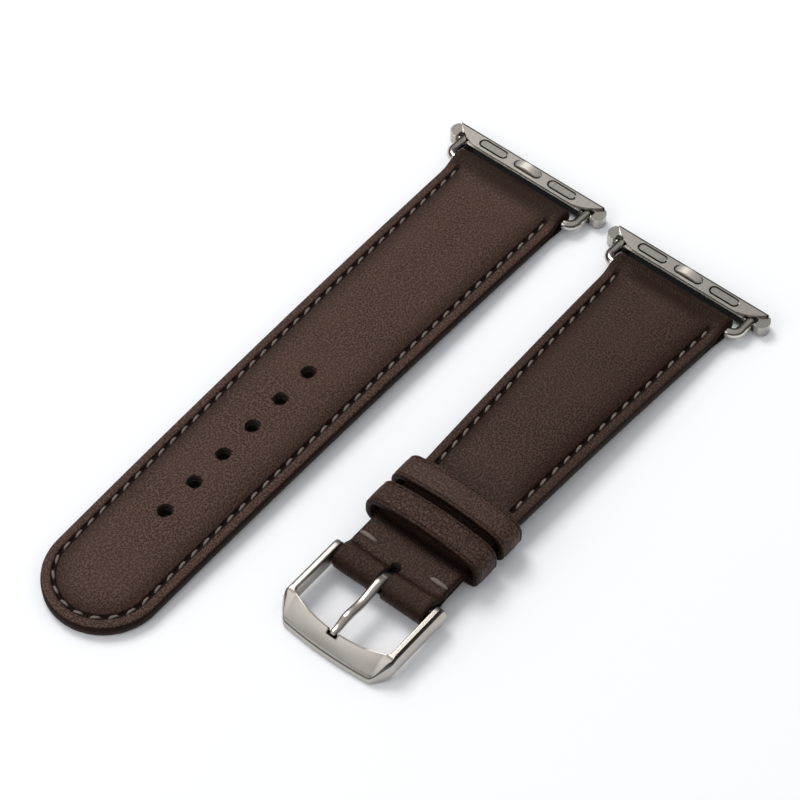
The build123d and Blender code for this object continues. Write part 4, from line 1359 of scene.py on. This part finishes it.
def tongue_rows():
    """Rings of points round the tongue's wire, from under the spring bar round its eye to the tip."""
    turns = [math.radians(angle) for angle in range(-160, 90, 10)]
    eye = [Vector((-EYE_RADIUS * math.cos(turn), SPRING_BAR_HEIGHT + EYE_RADIUS * math.sin(turn)))
           for turn in turns]
    line = eye + eased(TONGUE_LINE, 4)
    rows = []
    for number, place in enumerate(line):
        ahead, behind = line[min(number + 1, len(line) - 1)], line[max(number - 1, 0)]
        along = (ahead - behind).normalized()
        share = smooth((place.x - 9.0) / 4.0) if number > len(eye) else 0.0
        half_wide, half_thick = mix(*TONGUE_HALF_WIDTHS, share), mix(*TONGUE_HALF_THICKNESSES, share)
        left = len(line) - 1 - number
        end = (0.45, 0.8, 0.95)[left] if left < 3 else (0.6, 0.9)[number] if number < 2 else 1.0
        ring = []
        for corner in range(17):
            angle = 2 * math.pi * corner / 16
            side = math.copysign(abs(math.cos(angle)) ** 0.8, math.cos(angle)) * half_wide * end
            rise = math.copysign(abs(math.sin(angle)) ** 0.8, math.sin(angle)) * half_thick * end
            ring.append(((side, -SHORT_LENGTH - place.x - along.y * rise, place.y + along.x * rise), PLAIN))
        rows.append(ring)
    return rows


class STRAP_OT_tongue(bpy.types.Operator):
    """Models the buckle's tongue from the eye round the spring bar to the tip in the notch"""
    bl_idname = "strap.tongue"
    bl_label = "Tongue"

    def execute(self, context):
        look = context.scene.strap_metal
        piece = draped_grid("tongue_wire", tongue_rows(), (SHORT.x, SHORT.y))
        stitch_mesh_up(piece)
        smooth_by_angle(piece, 60.0)
        dress(piece, steel_finish("tongue steel", look.buckle_colour, 0.3, 0.14))
        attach(piece, "tongue")
        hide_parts("buckle_tongue")
        return {"FINISHED"}


class STRAP_OT_metal(bpy.types.Operator):
    """Finishes the rings, the connectors and the spring bar"""
    bl_idname = "strap.metal"
    bl_label = "Rings, Connectors and Spring Bar"

    def execute(self, context):
        look = context.scene.strap_metal
        bright = steel_finish("bright steel", look.bright_colour, 0.17, 0.15, 0.08)
        # The button's steel is a lighter copy of the bright steel, a painted highlight so that its dome
        # reads bright.
        button = steel_finish("button steel", shade_of(look.bright_colour, 1.2)[:3], 0.4, 0.1, 0.05)
        dull = steel_finish("tube steel", shade_of(look.bright_colour, 0.3)[:3], 0.5, 0.3)
        wire = steel_finish("spring steel", look.bright_colour, 0.3, 0.2)
        finishes = {"spring_bar_tube": dull, "spring_bar_tip_left": bright, "spring_bar_tip_right": bright,
                    "spring_bar_spring": wire}
        for half in (TAIL, SHORT):
            colour = look.connector_colour
            body = steel_finish(half.name + " connector steel", colour, look.roughness, 0.25, 0.2,
                                front_shade_of=half)
            deck = steel_finish(half.name + " deck steel", colour, look.roughness + 0.08, 0.25, 0.05,
                                wall_shade=0.95, gap_shade_of=half)
            pad = steel_finish(half.name + " pad steel", shade_of(colour, 0.72)[:3], 0.5, 0.9, 0.05,
                               wall_shade=0.97, gap_shade_of=half)
            finishes.update({half.name + "_" + node: material for node, material in (
                ("ring", bright), ("ring_pins", bright), ("connector_body", body), ("connector_deck", deck),
                ("connector_pads", pad), ("latch_button", button), ("latch_springs", wire))})
        for node, material in finishes.items():
            dress(frame["nodes"][node], material)
        return {"FINISHED"}


class STRAP_PT_panel(bpy.types.Panel):
    """Lists the strap's steps"""
    bl_idname = "STRAP_PT_panel"
    bl_label = "Watch Strap"
    bl_space_type = "VIEW_3D"
    bl_region_type = "UI"
    bl_category = "Strap"

    def draw(self, context):
        layout = self.layout
        for group in ("strap_leather", "strap_thread", "strap_metal", "strap_stage"):
            settings = getattr(context.scene, group)
            box = layout.box()
            for name in settings.bl_rna.properties.keys():
                if name not in ("rna_type", "name"):
                    box.prop(settings, name)
        for operator in OPERATORS:
            layout.operator(operator.bl_idname)


SETTINGS = (("strap_leather", StrapLeatherSettings), ("strap_thread", StrapThreadSettings),
            ("strap_metal", StrapMetalSettings), ("strap_stage", StrapStageSettings))
OPERATORS = (STRAP_OT_stage, STRAP_OT_tail_leather, STRAP_OT_buckle_leather, STRAP_OT_stitching,
             STRAP_OT_keepers, STRAP_OT_buckle, STRAP_OT_tongue, STRAP_OT_metal)


def register():
    for name, group in SETTINGS:
        bpy.utils.register_class(group)
        setattr(bpy.types.Scene, name, PointerProperty(type=group))
    for operator in OPERATORS:
        bpy.utils.register_class(operator)
    bpy.utils.register_class(STRAP_PT_panel)


def unregister():
    bpy.utils.unregister_class(STRAP_PT_panel)
    for operator in reversed(OPERATORS):
        bpy.utils.unregister_class(operator)
    for name, group in reversed(SETTINGS):
        delattr(bpy.types.Scene, name)
        bpy.utils.unregister_class(group)


def main():
    register()
    bpy.context.scene.view_settings.view_transform = "Standard"
    bpy.ops.strap.stage()
    bpy.ops.strap.tail_leather()
    bpy.ops.strap.buckle_leather()
    bpy.ops.strap.stitching()
    bpy.ops.strap.keepers()
    bpy.ops.strap.buckle()
    bpy.ops.strap.tongue()
    bpy.ops.strap.metal()


if __name__ == "__main__":
    main()
